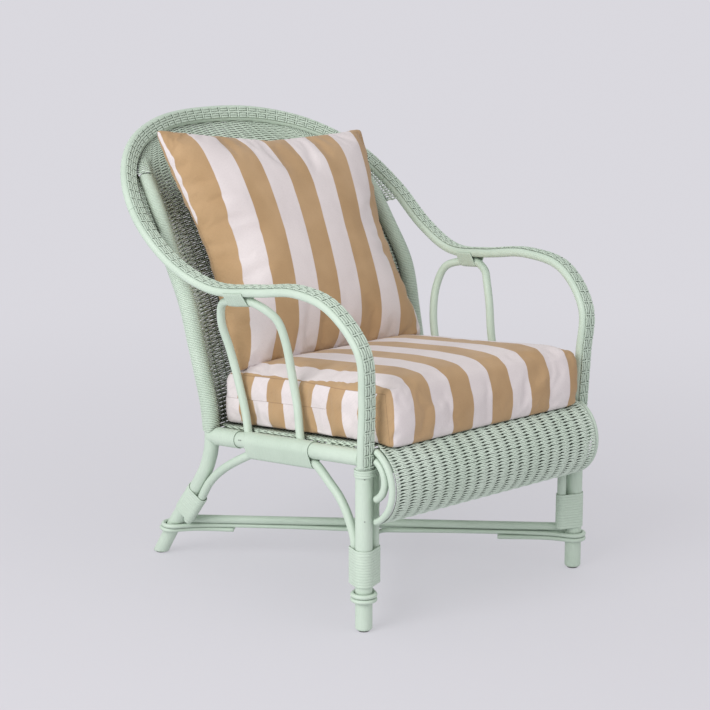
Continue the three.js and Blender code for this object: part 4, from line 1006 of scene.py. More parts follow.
# Arm loops
# Under each arm a thin cane is bent to a tall loop. Its two feet are nailed to the side rail and its
# top is bound up against the poles of the rim.
LOOP_RADIUS = 7.8
LOOP_TOP = 557.5
LOOP_FRONT, LOOP_BACK = 182, 393
REAR_LIMB = [(0.716, 0, 0), (0.8, -0.25, 0.17), (0.91, -0.3, 0.4), (0.975, 0, 0.605), (1, 0.58, 0.785),
             (0.93, 1, 0.925)]
FRONT_LIMB = [(0.37, 0.75, 0.955), (0.28, 0.21, 0.88), (0.213, -0.08, 0.735), (0.156, -0.3, 0.49),
              (0.09, -0.33, 0.265), (0.04, -0.17, 0.09), (0, 0, 0)]
loop_below_rim = RIM_POLE_RADIUS + LOOP_RADIUS + BEND_GAP


def loop_point(back, out, up):
    y = LOOP_FRONT + (LOOP_BACK - LOOP_FRONT) * back
    foot = rail_top(y) - RAIL_RADIUS / 2
    return np.array([leg_x + 9 - 24 * out, y, foot + (LOOP_TOP - foot) * up])


def under_rim(step, drop):
    i = step * PER_STEP
    return rim_path[i] - np.cross(rim_ways[i], rim_sides[i]) * drop


loop_path = bent_cane([loop_point(*shares) for shares in REAR_LIMB]
                      + [under_rim(16, loop_below_rim), under_rim(15, loop_below_rim)]
                      + [loop_point(*shares) for shares in FRONT_LIMB])
add_poles("arm_loop_cane", "arm_loop", cane(loop_path, LOOP_RADIUS, 20))

# Bindings
# Flat split cane is wound tightly round each place where two or three poles meet: under the arms, along
# the side rails, at the rails' rear ends, and round the legs.
CANE_WIDTH = 5.4
WINDING_CLEARANCE = 0.4
WINDING_THICKNESS = 1.9
TURN_PROFILE = [(0.02, 0.72), (0.1, 0.95), (0.35, 1.0), (0.65, 1.0), (0.9, 0.95), (0.98, 0.72)]
STRAP_REACH = 24
STRAP_CLEARANCE = 0.3
STRAP_THICKNESS = 2.0
painted_binding = mint_paint("painted_binding", 0.48, 0.2, 0.8)


def add_bindings(name, node_name, binding):
    add_both(name, node_name, [binding], painted_binding)


def outline_round(circles, margin, count, start=0.0, turn_share=1.0):
    """The taut outline round some circles, given as side, up and radius."""
    points = []
    for i in range(count):
        angle = (start + turn_share * i / (count if turn_share == 1 else count - 1)) * 2 * math.pi
        way = np.array([math.cos(angle), math.sin(angle)])
        far_circle = max(circles, key=lambda circle: circle[0] * way[0] + circle[1] * way[1] + circle[2])
        points.append(np.array(far_circle[:2]) + way * (far_circle[2] + margin))
    return np.array(points)


def winding_steps(length, width):
    """Where the rings of a wound binding lie, and how thick it is there, as a share."""
    turns = max(1, int(round(length / width)))
    stops, swell = [], []
    for turn_number in range(turns):
        proud = rng.uniform(0.95, 1.05)
        for place_share, height in TURN_PROFILE:
            stops.append((turn_number + place_share) / turns * length)
            swell.append(height * proud)
    return np.array(stops), np.array(swell)


def wound(path, first, circles, width=CANE_WIDTH):
    """A binding of flat cane wound round some poles along a path. It is a hollow sleeve."""
    count = 44
    stops, swell = winding_steps(run_length(path)[-1], width)
    line = at_lengths(path, stops)
    sides = carried_sides(directions(line), first)
    outer = np.stack([outline_round(circles, WINDING_CLEARANCE + WINDING_THICKNESS * share, count)
                      for share in swell])
    inner = np.stack([outline_round(circles, WINDING_CLEARANCE, count)] * 2)
    outer_points, outer_faces, outer_grain = sweep(line, outer, sides, capped=False)
    inner_points, inner_faces, inner_grain = sweep(line[[0, -1]], inner, sides[[0, -1]], capped=False)
    base = len(outer_points)
    faces = outer_faces + [[base + i for i in face][::-1] for face in inner_faces]
    last = (len(stops) - 1) * count
    for i in range(count):
        j = (i + 1) % count
        faces.append([i, base + i, base + j, j])
        faces.append([last + j, base + count + j, base + count + i, last + i])
    # Here the fibres run round the poles, not along them
    grain = np.concatenate([outer_grain, inner_grain])
    angle = np.arctan2(grain[:, 2], grain[:, 1])
    grain = np.stack([angle * 16, grain[:, 0], np.zeros(len(grain))], axis=1)
    return np.concatenate([outer_points, inner_points]), faces, grain


def arm_strap():
    """The turns that hold a loop's top up to the rim, closed above by the braid."""
    line, sides, _ = rim_part(14, 17)
    run = run_length(line)
    stops, swell = winding_steps(2 * STRAP_REACH, CANE_WIDTH)
    stops = stops + run[-1] / 2 - STRAP_REACH
    circles = [(rim_offset, 0, RIM_POLE_RADIUS), (-rim_offset, 0, RIM_POLE_RADIUS),
               (0, -loop_below_rim, LOOP_RADIUS + 0.6)]
    inner, *outer = [outline_round(circles, STRAP_CLEARANCE + STRAP_THICKNESS * share, 30, 0.5, 0.5)
                     for share in (0, *swell)]
    outlines = np.stack([np.concatenate([ring, inner[::-1]]) for ring in outer])
    return sweep(values_at(stops, run, line), outlines, values_at(stops, run, sides))


add_bindings("arm_loop_strap", "loop_binding", arm_strap())

rail_way = (1, 0, 0)
rail_circle = (0, 0, RAIL_RADIUS)


def rail_part(front, back):
    return straight(rail_point(FRAME_DEPTH * front), rail_point(FRAME_DEPTH * back))


arch_under_rail = (0, arch_below_rail, ARCH_RADIUS)
add_bindings("rail_winding", "rail_binding",
             wound(rail_part(0.31, 0.735), rail_way, [rail_circle, arch_under_rail]))
add_bindings("rail_end_winding", "rail_end_wrap", wound(rail_part(0.8, 0.955), rail_way, [rail_circle]))

leg_circle = (0, 0, LEG_RADIUS)
post_circle = (POST_INSET, POST_SETBACK, POST_RADIUS)


def upright(low, high):
    return straight((leg_x, 0, low), (leg_x, 0, high))


RING_HEIGHT = 14
WRAP_TOP = 152
WRAP_BOTTOM = STRETCHER_HEIGHT - STRETCHER_RADIUS + 11
ring_top = leg_top - 8 * TOUCH
ring_line = upright(ring_top - RING_HEIGHT, ring_top)
add_bindings("leg_collar", "leg_ring", wound(ring_line, rail_way, [leg_circle, post_circle], RING_HEIGHT / 3))
leg_circles = [leg_circle, post_circle, (0, arch_behind_leg, ARCH_RADIUS)]
add_bindings("leg_winding", "leg_wrap", wound(upright(WRAP_BOTTOM, WRAP_TOP), rail_way, leg_circles))

rear_wrap_line = rear_part(RAIL_REAR_HEIGHT * 0.385, RAIL_REAR_HEIGHT * 0.58)
rear_circles = [(0, 0, REAR_RADIUS), (0, arch_beside_rear, ARCH_RADIUS)]
add_bindings("rear_leg_winding", "rear_leg_binding", wound(rear_wrap_line, (-1, 0, 0), rear_circles))

# Cross stretcher
# Two poles cross under the seat from leg to leg: one is whole, the other is two halves butted against
# it. Thin rods loop round the legs and run along the poles underneath, nailed up to them.
THIN_RADIUS = 4.2
THIN_OFFSET = 8
THIN_BEND = 30
HAIRPIN_REACH_FRONT = 146
HAIRPIN_REACH_REAR = 122
rear_at_stretcher = rear_at(STRETCHER_HEIGHT)[0]


def front_end(side):
    return np.array([side * leg_x, 0, STRETCHER_HEIGHT])


def rear_end(side):
    return np.array([side * rear_x, rear_at_stretcher[1], STRETCHER_HEIGHT])


def stretcher(start, end, trim):
    """A pole between two places, cut short of them by the two lengths of trim."""
    way = (end - start) / np.linalg.norm(end - start)
    line = straight(start + way * trim[0], end - way * trim[1])
    return cane(line, STRETCHER_RADIUS, 20, first=(0, 0, 1))


crossing = front_end(1) + (rear_end(-1) - front_end(1)) * leg_x / (leg_x + rear_x)
for piece_name, node_name, start, end, trim in (
        ("stretcher_whole_cane", "stretcher_pole", rear_end(1), front_end(-1), (9, 12)),
        ("stretcher_front_cane", "stretcher_half_front", front_end(1), crossing, (12, 2)),
        ("stretcher_rear_cane", "stretcher_half_rear", rear_end(-1), crossing, (9, 2))):
    add_pole(piece_name, node_name, stretcher(start, end, trim))

upper_rod = STRETCHER_HEIGHT - STRETCHER_RADIUS - THIN_RADIUS - TOUCH
lower_rod = upper_rod - 2 * THIN_RADIUS - TOUCH
BESIDE_LEG = 2.2  # leg radii from the leg to where a rod lies against the pole


def leg_corner(side, rear, height):
    if rear:
        point, way = rear_at(height)
        centre = np.array([side * rear_x, point[1], height])
        radius = REAR_RADIUS / way[2] + THIN_RADIUS + 0.6
    else:
        centre = np.array([side * leg_x, 0, height])
        radius = LEG_RADIUS + THIN_RADIUS + 0.6
    out = (centre - crossing) * [1, 1, 0]
    out = out / np.linalg.norm(out)
    return {"centre": centre, "radius": radius, "out": out, "across": np.array([-out[1], out[0], 0])}


def round_leg(leg, steps=8):
    points = []
    for i in range(steps + 1):
        angle = math.pi * (i / steps - 0.5)
        points.append(leg["centre"] + leg["out"] * leg["radius"] * math.cos(angle)
                      + leg["across"] * leg["radius"] * math.sin(angle))
    return points


def flank(leg, side, along):
    level = np.array([crossing[0], crossing[1], upper_rod])
    return level + leg["out"] * along + leg["across"] * side * THIN_OFFSET


legs = [leg_corner(side, rear, upper_rod) for side, rear in ((-1, False), (-1, True), (1, True), (1, False))]
loop_rod = []
for i, leg in enumerate(legs):
    following = legs[(i + 1) % len(legs)]
    arm_length = np.linalg.norm((leg["centre"] - crossing)[:2])
    next_length = np.linalg.norm((following["centre"] - crossing)[:2])
    loop_rod += round_leg(leg)
    middle = np.array([crossing[0], crossing[1], upper_rod])
    middle += (leg["out"] + following["out"]) / 2 * THIN_BEND
    loop_rod += [flank(leg, 1, arm_length - leg["radius"] * BESIDE_LEG), flank(leg, 1, THIN_BEND * 2), middle,
                 flank(following, -1, THIN_BEND * 2),
                 flank(following, -1, next_length - following["radius"] * BESIDE_LEG)]
CUT_AT = 11  # the corner of the loop where its two ends meet
looped_rod = cane(bent_cane(loop_rod[CUT_AT:] + loop_rod[:CUT_AT + 1], 1.5), THIN_RADIUS, 14, joints=False)
add_pole("stretcher_looped_rod", "stretcher_loop_rod", looped_rod)


def hairpin(rear, reach):
    leg = leg_corner(1, rear, lower_rod)
    limbs = [[leg["centre"] - leg["out"] * inward + leg["across"] * side * THIN_OFFSET
              for inward in (reach, leg["radius"] * BESIDE_LEG)] for side in (-1, 1)]
    points = limbs[0] + round_leg(leg) + limbs[1][::-1]
    return cane(bent_cane(points, 1.5), THIN_RADIUS, 14, joints=False)


add_poles("front_hairpin_rod", "front_hairpin", hairpin(False, HAIRPIN_REACH_FRONT))
add_poles("rear_hairpin_rod", "rear_hairpin", hairpin(True, HAIRPIN_REACH_REAR))

# Nails
# Small round-headed nails hold the feet of the arm loops to the rails, and two more are driven into each
# front leg. Their heads show as low dark bumps.
nail_head = mint_paint("painted_nail", 0.4, 0.0, 0.5, light=(0.33, 0.37, 0.33, 1),
                       shade=(0.22, 0.25, 0.22, 1))


def nail(centre, way, radius):
    way = np.array(way, float) / np.linalg.norm(way)
    heights = np.array([-1.2, -0.1, 0.35, 0.6, 0.7]) * radius * 0.6
    widths = np.array([0.9, 1.0, 0.8, 0.45, 0.12]) * radius
    line = np.array(centre)[None, :] + way[None, :] * heights[:, None]
    first = np.array([0, 0, 1.0]) if abs(way[2]) < 0.8 else np.array([1.0, 0, 0])
    outlines = np.stack([round_outline(width, 12) for width in widths])
    return sweep(line, outlines, carried_sides(np.tile(way, (5, 1)), first))


nails = []
for foot in (loop_point(*REAR_LIMB[0]), loop_point(*FRONT_LIMB[-1])):
    for shift in (-2.5, 2.5):
        centre = rail_point(foot[1] + shift) + np.array([-(RAIL_RADIUS + 1.2) * 0.98, 0, 3.0])
        nails.append(nail(centre, (-1, 0, 0.15), 1.1))
for z in (leg_top - 18, leg_top - 95):
    nails.append(nail((leg_x - LEG_RADIUS * 0.6, -LEG_RADIUS * 0.8, z), (-0.6, -0.8, 0), 1.3))
for side in ("right", "left"):
    heads = painted_body(f"nail_heads_{side}", nails, nail_head, side == "left")
    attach(heads, "frame")

# Striped cover cloth
# Both cushions wear the same plain-woven cotton with wide stripes, tan and an off-white with a trace of
# pink. The cloth is matt, faintly slubby, and slightly darker where it creases.
TAN = (0.535, 0.355, 0.195, 1)
TAN_DEEP = (0.470, 0.305, 0.160, 1)
WHITE = (0.800, 0.735, 0.735, 1)
WHITE_DULL = (0.745, 0.680, 0.680, 1)
STRIPE_WANDER = 0.0012  # of the stripes' edges, in metres
THREAD_NOISE = ((1500, 260, 1), (260, 1500, 1))  # for the warp and the weft, per metre
THREAD_DARK = (0.94, 0.94, 0.94, 1)
THREAD_PALE = (1.03, 1.03, 1.03, 1)


def vector_parts(tree, name):
    source = node(tree, "ShaderNodeAttribute", {}, attribute_name=name)
    return node(tree, "ShaderNodeSeparateXYZ", {0: source.outputs["Vector"]}).outputs


def switched(tree, first, second, share):
    """The first value where the share is 0, and the second where it is 1."""
    step = worked_out(tree, "MULTIPLY", worked_out(tree, "SUBTRACT", second, first), share)
    return worked_out(tree, "ADD", first, step)


def striped_cloth(name, phase, stripe, seams):
    """phase is where a tan stripe starts, in metres across the cloth. The cover gives each point three
    places across it, for its three panels, and two zones that are above 0 where the second panel starts
    and where the third takes its place. seams is the colour of the painted shade along the lines between
    them."""
    cloth = bpy.data.materials.new(name)
    cloth.use_nodes = True
    tree = cloth.node_tree
    lanes = vector_parts(tree, "cloth_lanes")
    zones = vector_parts(tree, "cloth_zones")
    in_second = worked_out(tree, "GREATER_THAN", zones[0], 0.0)
    in_third = worked_out(tree, "GREATER_THAN", zones[1], 0.0)
    place = switched(tree, lanes[0], switched(tree, lanes[1], lanes[2], in_third), in_second)
    wander = worked_out(tree, "MULTIPLY", noise_in_place(tree, 45.0), STRIPE_WANDER)
    shifted = worked_out(tree, "SUBTRACT", worked_out(tree, "ADD", place, wander),
                         phase + STRIPE_WANDER / 2 + stripe / 2)
    # The share is 0 in the middle of a tan stripe, 1 in the middle of a white one and 0.5 at each edge
    share = worked_out(tree, "DIVIDE", worked_out(tree, "PINGPONG", shifted, stripe), stripe)
    edge = node(tree, "ShaderNodeMapRange", {"Value": share, "From Min": 0.492, "From Max": 0.508})
    tan = between(tree, noise_in_place(tree, 14.0), 0.35, 0.65, TAN_DEEP, TAN)
    white = between(tree, noise_in_place(tree, 11.0), 0.35, 0.65, WHITE_DULL, WHITE)
    dyed = node(tree, "ShaderNodeMix", {"Factor": edge.outputs[0], "A": tan, "B": white}, data_type="RGBA")
    # Painted shade darkens the seam lines, which lie where a zone passes 0, and the zip's line, only within
    # the second panel
    in_first = worked_out(tree, "SUBTRACT", 1.0, in_second)
    zip_line = worked_out(tree, "ADD", worked_out(tree, "ABSOLUTE", zones[1]), in_first)
    seam_line = worked_out(tree, "MINIMUM", worked_out(tree, "ABSOLUTE", zones[0]), zip_line)
    seam_shade = between(tree, worked_out(tree, "MULTIPLY", seam_line, 1 / MM), 0.15, 1.0, seams, FULL)
    laid = node(tree, "ShaderNodeUVMap", {}, uv_map="cloth").outputs["UV"]
    slubs = []
    for scale in THREAD_NOISE:
        stretched = node(tree, "ShaderNodeVectorMath", {0: laid, 1: scale}, operation="MULTIPLY")
        slubs.append(noise(tree, stretched.outputs[0], 1.0, 2.0))
    threads = worked_out(tree, "ADD", *slubs)
    flecks = between(tree, threads, 0.7, 1.3, THREAD_DARK, THREAD_PALE)
    wrinkles = bumps(tree, noise_in_place(tree, 22.0, 3.0), 0.25, 0.006)
    feed(tree, tree.nodes["Principled BSDF"],
         {"Base Color": times(tree, times(tree, dyed.outputs["Result"], seam_shade), flecks),
          "Roughness": 0.88, "Sheen Weight": 0.18, "Sheen Roughness": 0.5, "Specular IOR Level": 0.25,
          "Normal": bumps(tree, threads, 0.3, 0.0004, wrinkles)})
    return cloth


def mesh_points(piece):
    flat = np.empty(len(piece.data.vertices) * 3)
    piece.data.vertices.foreach_get("co", flat)
    return flat.reshape(-1, 3)


def set_points(piece, points):
    piece.data.vertices.foreach_set("co", points.ravel())
    piece.data.update()


def bake_modifiers(piece):
    """Leaves only what the modifiers make of the piece in its mesh."""
    graph = bpy.context.evaluated_depsgraph_get()
    result = bpy.data.meshes.new_from_object(piece.evaluated_get(graph))
    old = piece.data
    piece.modifiers.clear()
    piece.data = result
    bpy.data.meshes.remove(old)


def use_modifier(piece, kind, **settings):
    modifier = piece.modifiers.new(kind.lower(), kind)
    for key, value in settings.items():
        setattr(modifier, key, value)
    bake_modifiers(piece)


CLOTH_SETTINGS = {"quality": 6, "mass": 0.25, "tension_stiffness": 18, "compression_stiffness": 12,
                  "shear_stiffness": 6, "bending_stiffness": 0.35, "use_pressure": True,
                  "vertex_group_mass": "seams", "shrink_min": -0.035}
FILL_FRAMES = 20


def filled(piece, held, pressure, reach):
    """Blows the cover up by cloth simulation, held at its seams. No point moves further than reach."""
    start = mesh_points(piece)
    pins = piece.vertex_groups.new(name="seams")
    for level in (0.35, 0.7, 1.0):
        chosen = np.nonzero((held > level - 0.2) & (held <= level + 0.15))[0]
        pins.add([int(i) for i in chosen], level, "REPLACE")
    cover = piece.modifiers.new("cover", "CLOTH")
    for key, value in CLOTH_SETTINGS.items():
        setattr(cover.settings, key, value)
    cover.settings.uniform_pressure_force = pressure
    cover.settings.effector_weights.gravity = 0
    cover.collision_settings.use_collision = False
    cover.point_cache.frame_start = 1
    cover.point_cache.frame_end = FILL_FRAMES
    for step in range(1, FILL_FRAMES + 1):
        bpy.context.scene.frame_set(step)
    bake_modifiers(piece)
    bpy.context.scene.frame_set(1)
    moved = mesh_points(piece) - start
    far_moved = np.linalg.norm(moved, axis=1)
    limit = reach * np.tanh(far_moved / reach) / np.maximum(far_moved, 1e-9)
    set_points(piece, start + moved * limit[:, None])
    piece.vertex_groups.clear()


def loft(rings, first, last):
    """A closed body through rings of points, with a fan at each end."""
    count = len(rings[0])
    points = np.concatenate([*rings, [first, last]])
    faces = strip_faces(len(rings), count).tolist()
    tip = len(rings) * count
    top = (len(rings) - 1) * count
    for i in range(count):
        j = (i + 1) % count
        faces.append([tip, j, i])
        faces.append([tip + 1, top + i, top + j])
    return points, faces


def square_ring(corner, side_steps, corner_steps):
    """Points round a square of half size 1 with rounded corners."""
    ring = []
    for side in range(4):
        spin = side * math.pi / 2
        spun = np.array([[math.cos(spin), -math.sin(spin)], [math.sin(spin), math.cos(spin)]])
        for i in range(side_steps):
            ring.append(spun @ np.array([1, (1 - corner) * (2 * i / side_steps - 1)]))
        for i in range(corner_steps):
            angle = math.pi / 2 * i / corner_steps
            ring.append(spun @ (np.array([math.cos(angle), math.sin(angle)]) * corner + 1 - corner))
    return ring


def soft_piece(name, points, faces, body, stands_for, fill):
    piece = standing(name, points, faces)
    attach(piece, body)
    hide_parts(stands_for)
    return piece


def cover_points(piece):
    """The cover's points in millimetres, with y measured from the front legs."""
    points = mesh_points(piece) / MM
    points[:, 1] -= front_leg_line / MM
    return points


def set_cover_points(piece, points):
    moved = points.copy()
    moved[:, 1] += front_leg_line / MM
    set_points(piece, moved * MM)


def finish_cover(piece, material, lay_cloth, lay_zones, threads_along):
    """Smooths the cover, marks its panels and their places on the cloth, and dresses it."""
    use_modifier(piece, "SUBSURF", levels=1, render_levels=1)
    mesh = piece.data
    mesh.materials.clear()
    mesh.materials.append(material)
    mesh.shade_smooth()
    points = cover_points(piece)
    lay_values(mesh, "cloth_lanes", lay_cloth(points))
    lay_values(mesh, "cloth_zones", lay_zones(points))
    loops = np.empty(len(mesh.loops), int)
    mesh.loops.foreach_get("vertex_index", loops)
    layer = mesh.uv_layers.new(name="cloth")
    layer.data.foreach_set("uv", (threads_along(points)[loops] * MM).astype(np.float32).ravel())


# Seat cushion
# A loose boxed cushion lies on the woven seat: foam in a cover with a crowned top, no piping, and a
# boxing down its sides with a zip half-way up. Its stripes run from front to back and down the front.
SEAT_WIDTH = 490
SEAT_FRONT = 46
SEAT_BACK = 440
SEAT_EDGE = 104
SEAT_CROWN = 14
SEAT_RINGS = [(0.5, 0, 0), (0.95, 0, 0), (0.992, 0.04, 0), (1, 0.22, 0), (1, 0.56, 0), (0.997, 0.8, 0),
              (0.985, 0.92, 0), (0.955, 0.955, 0.06), (0.86, 0.97, 0.4), (0.66, 0.985, 0.75), (0.36, 1, 0.95)]
SEAT_DRAWN = 0.012  # how far its sides are drawn in between the corners
SEAT_DROOP = 10  # how far its front sags over the roll
SEAT_BULLNOSE = 9  # how far its front is rounded back at the top
seat_middle = (SEAT_BACK - SEAT_FRONT) / 2
seat_half = (SEAT_BACK + SEAT_FRONT) / 2
seat_lift = DECK_THICKNESS + 3 * TOUCH


def seat_point(way, plan, height, crown, shrink=0.0):
    drawn = 1 - SEAT_DRAWN * (1 - abs(way[0] * way[1]))
    x = (SEAT_WIDTH / 2 - shrink) * way[0] * plan * drawn
    y = seat_middle + (seat_half - shrink) * way[1] * plan * drawn
    in_front = max(-way[1] * plan, 0) ** 6
    y += (4 + SEAT_BULLNOSE * max(height - 0.6, 0) * 2.5) * in_front
    base = rail_top(y) + seat_lift
    droop = SEAT_DROOP * min(max((8 - y) / 40, 0), 1) ** 2 * (1 - height)
    return np.array([x, y, base + SEAT_EDGE * height + SEAT_CROWN * crown - droop])


seat_ways = square_ring(0.055, 12, 4)
seat_rings = [np.array([seat_point(way, *ring, shrink=4) for way in seat_ways]) for ring in SEAT_RINGS]
seat_body = loft(seat_rings, seat_point((0, 0), 0, 0, 0), seat_point((0, 0), 0, 1, 1))
seat_cushion = soft_piece("seat_cushion_cover", *seat_body, "seat_cushion", "seat_cushion", 0.8)


def seat_parts(points):
    """How far each point is from the cushion's sides, from its ends and above its foot, in millimetres."""
    by_side = SEAT_WIDTH / 2 - np.abs(points[:, 0])
    by_end = np.minimum(points[:, 1] + SEAT_FRONT, SEAT_BACK - points[:, 1])
    return by_side, by_end, points[:, 2] - (rail_top(points[:, 1]) + seat_lift)


SEAM_HEIGHT = 0.93  # of the boxing, as a share of the edge's thickness
SEAM_DIP = 0.05  # how far the seam comes down towards the front
ZIP_HEIGHT = 0.5
ZIP_END = 140
TUCK_AT = 214  # where the boxing's two lengths are joined in a tuck
JOIN_AT = 22  # where its front length starts, behind the arm
CORNER_TURN = (8, 22)  # how far the front cloth reaches round the corner, at its foot and at its top
SEAT_STRIPE = 49.4
SIDE_TIGHTNESS = 1.151  # how much closer the stripes lie along the boxing
# How far the boxing's stripes are shifted and how far they bend at the zip, behind the tuck and before it
UPPER_SHIFT = (7, 10)
UPPER_BEND = (4, 11)
LOWER_SHIFT = (8.5, 2.5)
LOWER_BEND = (7, 16)
ZIP_END_SHIFT = 3.5
EDGE_SHIFT = (11, 31)  # of the top's stripes at its edge on the sitter's right, behind and before


def towards_front(points):
    return np.clip((TUCK_AT - points[:, 1]) / 120, 0, 1)


def seat_lanes(points):
    x, y = points[:, 0], points[:, 1]
    height = seat_parts(points)[2] / SEAT_EDGE
    along_side = y * SIDE_TIGHTNESS + np.where(y < JOIN_AT, SEAT_STRIPE, 0)
    upper_shift, upper_bend, lower_shift, lower_bend = (
        np.where(y < TUCK_AT, before, behind)
        for behind, before in (UPPER_SHIFT, UPPER_BEND, LOWER_SHIFT, LOWER_BEND))
    above = np.clip((height - ZIP_HEIGHT) / (SEAM_HEIGHT - ZIP_HEIGHT), 0, 1)
    below = np.clip(height / ZIP_HEIGHT, 0, 1)
    upper = along_side + upper_shift - upper_bend * (1 - above)
    lower = along_side + lower_shift + lower_bend * (1 - below) - ZIP_END_SHIFT * (y < ZIP_END)
    by_edge = np.clip(-x / (SEAT_WIDTH / 2), 0, 1) ** 8 * np.clip((y + SEAT_FRONT) / 60, 0, 1)
    edge_shift = part_way(EDGE_SHIFT, towards_front(points))
    return np.stack([x - edge_shift * by_edge, upper, lower], axis=1)


def seat_zones(points):
    by_side, by_end, height = seat_parts(points)
    corner = part_way(CORNER_TURN, height / SEAT_EDGE)
    beyond_corner = by_end - by_side - np.where(points[:, 1] < 60, corner, 0)
    below_seam = SEAT_EDGE * (SEAM_HEIGHT - SEAM_DIP * towards_front(points)) - height
    # The zip's line of painted shade ends behind the front, where only a fine seam goes on
    thinning = np.where(points[:, 1] < ZIP_END, 30, 1)
    below_zip = (SEAT_EDGE * ZIP_HEIGHT - height) * thinning
    return np.stack([np.minimum(beyond_corner, below_seam), below_zip, np.zeros(len(points))], axis=1)


def seat_threads(points):
    return np.stack([points[:, 0] + points[:, 1] * 0.2, points[:, 2] + points[:, 1]], axis=1)


use_modifier(seat_cushion, "REMESH", mode="VOXEL", voxel_size=0.0062)
by_side, by_end, height = seat_parts(cover_points(seat_cushion))
near_edge = np.exp(-((np.minimum(by_side, by_end) - 6) / 9) ** 2)
seam = near_edge * np.exp(-((height - SEAT_EDGE * SEAM_HEIGHT) / 10) ** 2)
zip_seam = (by_side < 14) * np.exp(-((height - SEAT_EDGE * ZIP_HEIGHT) / 5) ** 2) * 0.7
under = (height < 3) * 1.0
filled(seat_cushion, np.clip(np.maximum.reduce([seam, zip_seam, under]), 0, 1), 3.0, 0.006)
points = cover_points(seat_cushion)
by_side, _, height = seat_parts(points)
near_tuck = np.exp(-((points[:, 1] - TUCK_AT) / 6) ** 2) * np.exp(-((height - SEAT_EDGE * 0.8) / 26) ** 2)
tuck = 4 * near_tuck * np.exp(-((by_side / 16) ** 2))
points[:, 0] -= np.sign(points[:, 0]) * tuck
points[:, 2] -= tuck * 0.5
set_cover_points(seat_cushion, points)
seat_fabric = striped_cloth("striped_cotton_seat", 0.011, SEAT_STRIPE * MM, (0.72, 0.68, 0.66, 1))
finish_cover(seat_cushion, seat_fabric, seat_lanes, seat_zones, seat_threads)

# Back cushion
# A loose square pillow stands on the seat cushion and leans on the woven back. Two panels are sewn edge
# to edge, so it is full in the middle and thin at the seam, with pointed corners and puckered sides.
BACK_WIDTH = 480
BACK_HEIGHT = 464
BACK_EDGE = 7
BACK_DEPTH = 164
PILLOW_EAR = 0.1  # how far the sides are drawn in between the corners
PILLOW_SAG = 0.12  # and its top
PILLOW_SETTLED = 8  # how far its foot has sunk onto the seat cushion
PILLOW_REST = 0.04  # and its lower edge, which rests on the seat cushion
PILLOW_TAPER = 0.05
PILLOW_SKEW = 22
PILLOW_FULL = 0.8
PILLOW_CLOTH = 243  # half the width of the cloth, stretched over the pillow's half width
STRIPE_DRIFT = 18  # how far the stripes lean from its middle to its top
DRAWN_ROUND = 13  # how far the cloth is drawn round the seam on the sitter's right
back_lean = math.radians(27.4)
BACK_CENTRE = np.array([0, 505.17, 611.64])
PILLOW_RINGS = [0.2, 0.4, 0.6, 0.74, 0.84, 0.91, 0.96, 0.985]
pillow_tilt = np.array([[1, 0, 0], [0, math.cos(back_lean), math.sin(back_lean)],
                        [0, -math.sin(back_lean), math.cos(back_lean)]])


def pillow_point(way, scale, face):
    to_corner = abs(way[0] * way[1])
    drawn = 1 - PILLOW_EAR * (1 - to_corner) * scale
    hung = 1 - (PILLOW_SAG if way[1] > 0 else PILLOW_REST) * (1 - to_corner) ** 0.6 * scale
    thinning = [max(1 - abs(part * scale) ** 2.5, 0) for part in way]
    fullness = math.sqrt(thinning[0] * thinning[1]) * PILLOW_FULL
    depth = BACK_EDGE / 2 + (BACK_DEPTH - BACK_EDGE) * 0.5 * fullness
    x = BACK_WIDTH / 2 * way[0] * scale * drawn * (1 + PILLOW_TAPER * max(way[1] * scale, -0.3))
    z = BACK_HEIGHT / 2 * way[1] * scale * hung - PILLOW_SETTLED * max(-way[1] * scale, 0) ** 2
    # The pillow sits a little askew: its head is pushed up on the sitter's right
    z += -PILLOW_SKEW * way[0] * scale * max(way[1] * scale, 0)
    return pillow_tilt @ np.array([x, face * depth, z]) + BACK_CENTRE


pillow_ways = square_ring(0.03, 16, 3)


def pillow_ring(scale, face):
    return np.array([pillow_point(way, scale, face) for way in pillow_ways])


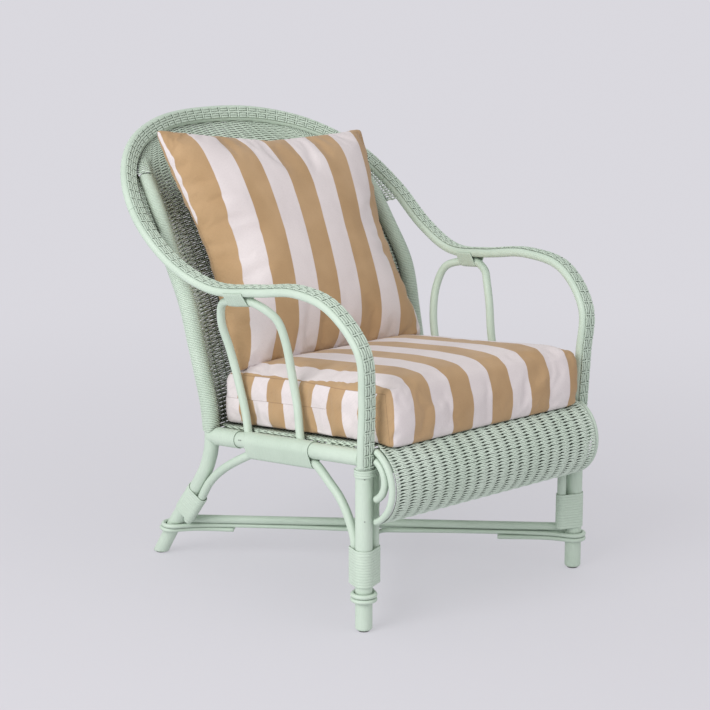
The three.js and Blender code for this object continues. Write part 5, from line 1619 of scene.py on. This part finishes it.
pillow_rings = [pillow_ring(scale, 1) for scale in PILLOW_RINGS + [1]]
pillow_rings += [pillow_ring(scale, -1) for scale in [1] + PILLOW_RINGS[::-1]]
pillow_body = loft(pillow_rings, pillow_point((0, 0), 0, 1), pillow_point((0, 0), 0, -1))
back_cushion = soft_piece("back_cushion_cover", *pillow_body, "back_cushion", "back_cushion", 0.75)


def in_pillow(points):
    """Places on the pillow as it lies flat: across, through and up."""
    return (points - BACK_CENTRE) @ pillow_tilt


def pillow_rows(flat):
    """How far up each point's row is, and how wide the pillow is there."""
    lifted = flat[:, 2] / (BACK_HEIGHT / 2)
    pushed = PILLOW_SKEW * flat[:, 0] / (BACK_WIDTH / 2) * np.maximum(lifted, 0)
    up = np.clip((flat[:, 2] + pushed) / (BACK_HEIGHT / 2), -1, 1)
    wide = BACK_WIDTH / 2 * (1 - PILLOW_EAR * (1 - np.abs(up))) * (1 + PILLOW_TAPER * np.maximum(up, -0.3))
    return up, wide


def pillow_lanes(points):
    flat = in_pillow(points)
    up, wide = pillow_rows(flat)
    place = PILLOW_CLOTH * flat[:, 0] / wide - STRIPE_DRIFT * up
    drawn = np.where(flat[:, 0] < 0, DRAWN_ROUND * (1 - up**2) * np.abs(flat[:, 0] / wide) ** 6, 0)
    return np.stack([place - drawn, place, place], axis=1)


def pillow_zones(points):
    through = in_pillow(points)[:, 1]
    return np.stack([through, np.full(len(points), -9.0), np.zeros(len(points))], axis=1)


def pillow_threads(points):
    return in_pillow(points)[:, [0, 2]]


use_modifier(back_cushion, "REMESH", mode="VOXEL", voxel_size=0.0055)
flat = in_pillow(cover_points(back_cushion))
seam = np.clip(1.25 - np.abs(flat[:, 1]) / 9, 0, 1)
filled(back_cushion, seam, 3.5, 0.010)
flat = in_pillow(cover_points(back_cushion))
up, wide = pillow_rows(flat)
by_side = np.exp(-(((wide - np.abs(flat[:, 0])) / 14) ** 2))
ruffle = 1.3 * np.sin(flat[:, 2] / 6.5 + 1.3 * np.sin(flat[:, 2] / 23)) * by_side
flat[:, 1] += ruffle
flat[:, 0] += ruffle * 0.5
set_cover_points(back_cushion, flat @ pillow_tilt.T + BACK_CENTRE)
back_fabric = striped_cloth("striped_cotton_back", -0.036, 0.056, (0.8, 0.76, 0.74, 1))
finish_cover(back_cushion, back_fabric, pillow_lanes, pillow_zones, pillow_threads)
